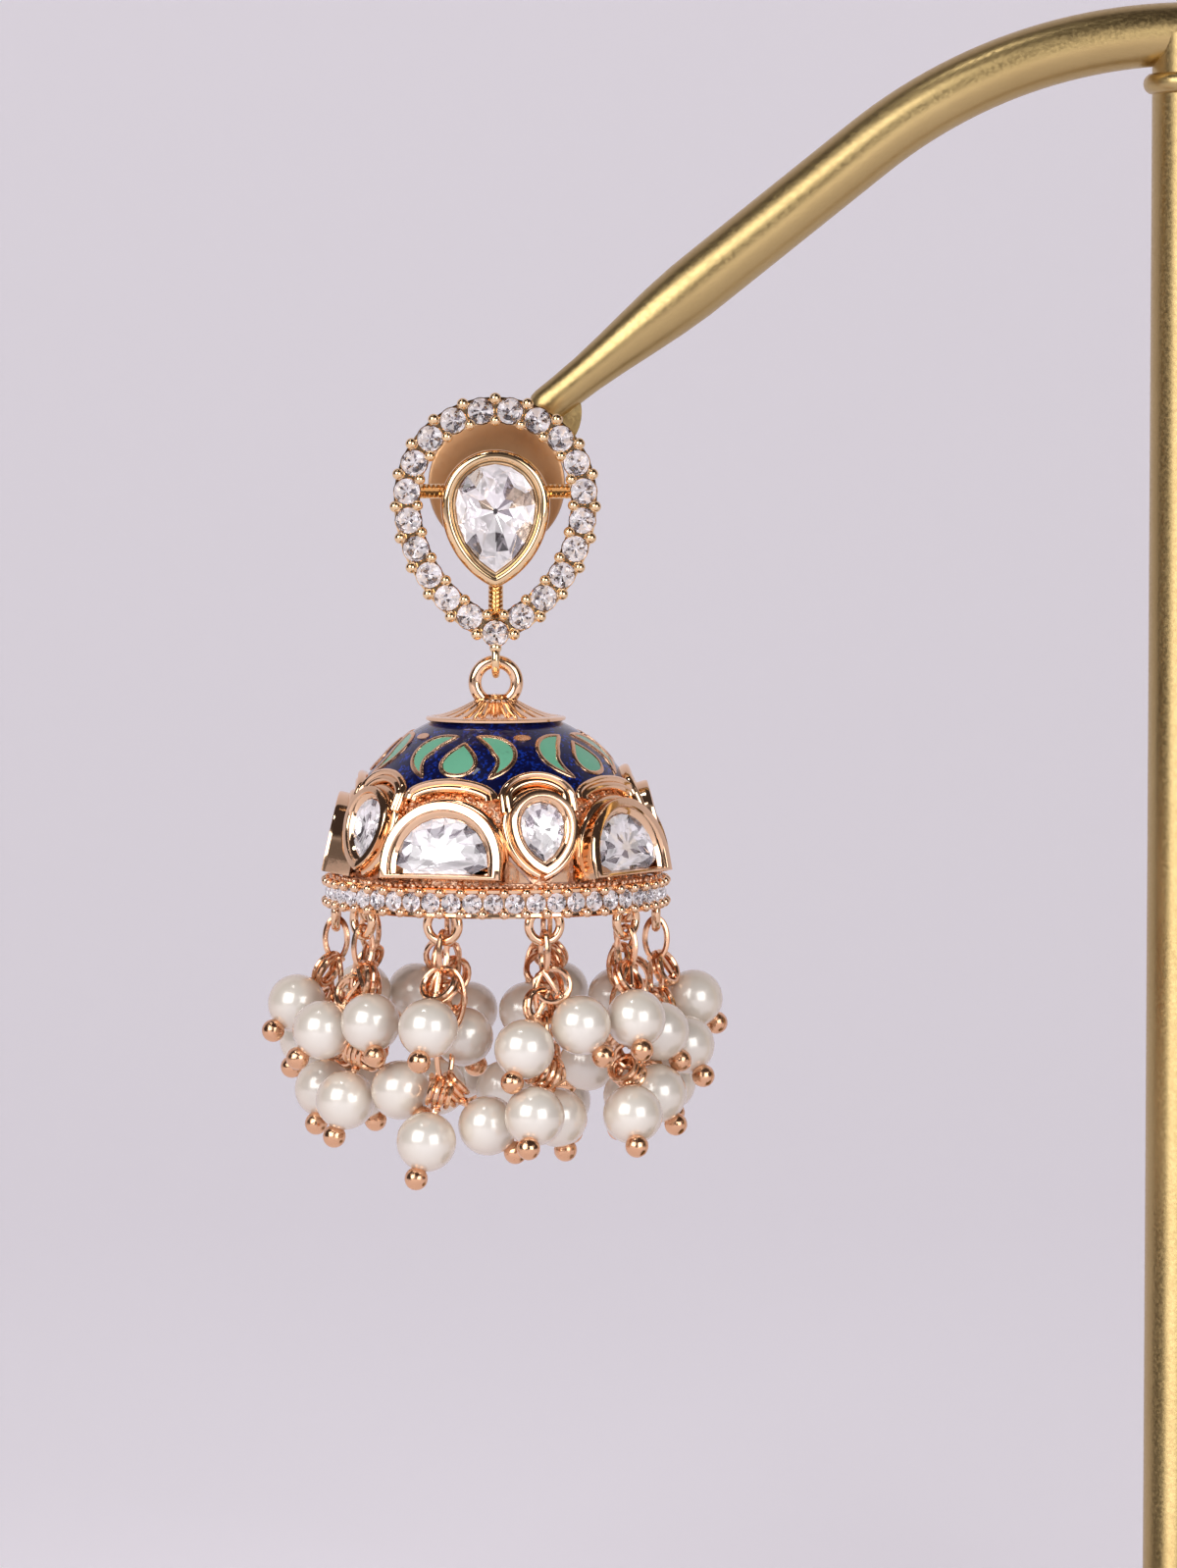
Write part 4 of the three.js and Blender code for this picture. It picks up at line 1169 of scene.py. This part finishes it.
def inlays():
    """The mint fillings, and the gold round them with the gold dots."""
    mint = Form()
    gold = Form()
    section = [(-0.16, -0.2), (-0.15, 0.03), (-0.08, 0.08), (0.08, 0.08), (0.15, 0.03), (0.16, -0.2)]
    for kind, rows, turn, z, flip in motif_places():
        polar = math.acos(z / DOME_R)
        filled, path = inlay(rows, turn, polar, flip)
        if kind == "dot":
            for p in filled.points:
                p *= (DOME_R + DOT_LIFT) / (DOME_R + INLAY_LIFT)
            gold.add(filled)
        else:
            mint.add(filled)
            gold.add(swept(path, section, closed=True))
    return mint, gold


def bell():
    # The dome wall and its grains take the gold that holds painted shade of the recesses.
    shell = piece("dome_wall", dome_shell(), BELL, cast_gold_painted_shade, "bell", "gold", "bell")
    carved(shell, piercings(), BELL)
    piece("gallery_grains", granules(), BELL, cast_gold_painted_shade, "bell", "gold", "bell")
    metalwork = border()
    for made in (ridges(), band(), cap(), settings(), drop_rings()):
        metalwork.add(made)
    piece("bell_setting", metalwork, BELL, bell_gold, "bell", "gold", "bell")
    piece("band_stones", band_stones(), BELL, GEM, "bell", "crystal", "bell", crease=0)
    wall_stones()
    piece("dome_enamel", enamel_skin(), BELL, blue_enamel, "bell", "blue_enamel", "blue_enamel")
    mint, gold = inlays()
    piece("mint_inlays", mint, BELL, mint_enamel, "bell", "blue_enamel", "blue_enamel")
    piece("enamel_wires", gold, BELL, cloison_gold, "bell", "gold", "blue_enamel")


# Strands

def strand_place(i, z=0.0):
    turn = FIRST_STRAND + 2 * math.pi * i / STRANDS
    return Matrix.Rotation(turn, 4, 'Z') @ Matrix.Translation((0, -STRAND_R, z))


def oval_link(top, length, width, spin, wire_r=WIRE_R, shift=0.0):
    """An oval link hanging from its top's centre line, its plane turned by spin about Z."""
    path = [Vector((width / 2 * math.cos(a), 0, length / 2 * math.sin(a))) for a in round_turn(32)]
    place = Matrix.Translation((shift, 0, top - length / 2)) @ Matrix.Rotation(spin, 4, 'Z')
    return Form().add(tube(path, wire_r, 8, closed=True), place)


def pin_eye(anchor, lean, face, turns, radius):
    """The pin's eye: a coil through the link, its end twisted round the neck above the pearl."""
    side = lean.cross(face).normalized()
    centre = anchor + lean * (radius - WIRE_R)
    steps = 18
    total = int(turns * steps)
    pitch = 2.1 * WIRE_R
    path = []
    for k in range(total + 1):
        a = 2 * math.pi * k / steps + math.pi
        off = (k / total - 0.5) * pitch * turns
        path.append(centre + side * (radius * math.sin(a)) + lean * (radius * math.cos(a)) + face * off)
    neck = anchor + lean * (PIN_REACH - PEARL_R - 0.15)
    path.append(centre.lerp(neck, 0.75) + face * 0.1)
    path.append(neck)
    path.append(neck + lean * 0.5)
    wrap = []
    for k in range(16):
        a = 2 * math.pi * k / 10
        wrap.append(neck - lean * (0.02 + 0.03 * k) + (side * math.cos(a) + face * math.sin(a)) * 0.27)
    coil = tube(path, WIRE_R, 8)
    return coil.add(tube(wrap, 0.13, 6))


def strands():
    for i in range(STRANDS):
        hang = STRAND_HANG[i % len(STRAND_HANG)]
        wires, pearls, balls = Form(), Form(), Form()
        length = hang[-1][0]
        wires.add(oval_link(UPPER_LINK_TOP, UPPER_LINK_LENGTH, UPPER_LINK_WIDTH, math.pi / 2))
        link = length / 2 + 0.35
        wires.add(oval_link(UPPER_FOOT + 0.38, link + 0.2, 2.2, 0.35, 0.2, 0.3))
        wires.add(oval_link(UPPER_FOOT - length / 2 + 0.4, link + 0.1, 1.8, 1.3, 0.19, 0.1))
        for (drop, out, side), (face, turns, radius) in zip(hang, PIN_EYES):
            anchor = Vector((0, 0, UPPER_FOOT - drop))
            lean = Vector((math.tan(math.radians(side)), -math.tan(math.radians(out)), -1)).normalized()
            face = Vector(face).normalized()
            face = (face - lean * face.dot(lean)).normalized()
            wires.add(pin_eye(anchor, lean, face, turns, radius))
            place = facing(anchor + lean * PIN_REACH, lean)
            pearls.add(ball(PEARL_R, 20, 32), place)
            balls.add(ball(BALL_R, 12, 18), facing(anchor + lean * (PIN_REACH + BALL_AT), lean))
        node = f"pearl_strand_{i + 1:02d}"
        place = BELL @ strand_place(i)
        for kind, form, look, slot in (
            ("wire", wires, copper_wire, "gold"),
            ("pearls", pearls, pearl_coat, "pearl"),
            ("balls", balls, ball_gold, "gold"),
        ):
            piece(f"strand_{kind}_{i + 1:02d}", form, place, look, "bell", slot, node)


# Stage, light and camera

def backdrop():
    """A seamless paper sweep: floor, a wide curve, and the wall behind."""
    profile = [(-1.6, 0.0), (0.25, 0.0)]
    for k in range(1, 13):
        a = math.pi / 2 * k / 12
        profile.append((0.25 + 0.35 * math.sin(a), 0.35 * (1 - math.cos(a))))
    profile.append((0.60, 2.0))
    points = [(x, y, z) for y, z in profile for x in (-1.8, 1.8)]
    faces = [(2 * k, 2 * k + 1, 2 * k + 3, 2 * k + 2) for k in range(len(profile) - 1)]
    mesh = bpy.data.meshes.new("paper_sweep")
    mesh.from_pydata(points, [], faces)
    mesh.materials.append(plain_stage())
    mesh.shade_smooth()
    placed("paper_sweep", mesh)


def softbox(name, at, towards, width, height, watts):
    light = bpy.data.lights.new(name, "AREA")
    light.shape = "RECTANGLE"
    light.size = width
    light.size_y = height
    light.energy = watts
    lamp = placed(name, light)
    lamp.location = at
    lamp.rotation_euler = (Vector(towards) - Vector(at)).to_track_quat('-Z', 'Y').to_euler()


def studio():
    """Pale light round the back, dark in front, above and at the sides, with three softboxes."""
    world = bpy.data.worlds.new("studio")
    world.use_nodes = True
    bpy.context.scene.world = world
    nodes, links = world.node_tree.nodes, world.node_tree.links
    where = nodes.new("ShaderNodeTexCoord")
    split = nodes.new("ShaderNodeSeparateXYZ")
    links.new(where.outputs["Generated"], split.inputs["Vector"])
    aside = worked(nodes, links, "ABSOLUTE", split.outputs["X"])
    sides = ranged(nodes, links, aside, {"From Min": 0.84, "From Max": 0.74}, smooth=True)
    above = ranged(nodes, links, split.outputs["Z"], {"From Min": 0.65, "From Max": 0.40}, smooth=True)
    ahead = {"From Min": -0.92, "From Max": -0.70, "To Min": 0.15}
    front = ranged(nodes, links, split.outputs["Y"], ahead, smooth=True)
    room = worked(nodes, links, "MINIMUM", above, sides)
    pale = worked(nodes, links, "MINIMUM", room, front)
    tint = colour_mix(nodes, links, pale, (0.05, 0.04, 0.04), (0.72, 0.68, 0.70))
    ray = nodes.new("ShaderNodeLightPath")
    seen = colour_mix(nodes, links, ray.outputs["Is Camera Ray"], tint, (0.69, 0.645, 0.70))
    links.new(seen, nodes["Background"].inputs["Color"])
    aim = (-0.045, 0.0, 0.06)
    softbox("left_softbox", (-0.37, -0.44, 0.32), aim, 0.46, 0.42, 2.0)
    softbox("right_softbox", (0.25, -0.50, 0.20), aim, 0.34, 0.34, 1.2)
    softbox("small_softbox", (-0.18, -0.13, 0.62), aim, 0.06, 0.06, 0.12)


def camera():
    lens = bpy.data.cameras.new("photo_view")
    lens.lens = 135.0
    lens.sensor_width = 36.0
    lens.clip_start = 0.01
    eye = placed("photo_view", lens)
    target = Vector((-0.0412, -0.0046, 0.0657))
    lift = math.radians(3.8)
    away = 0.40
    eye.location = target + Vector((0, -math.cos(lift), math.sin(lift))) * away
    eye.rotation_euler = (target - eye.location).to_track_quat('-Z', 'Y').to_euler()
    bpy.context.scene.camera = eye
    bpy.context.scene.view_settings.view_transform = "Standard"


camera()
stand()
stud()
bell()
strands()
backdrop()
studio()
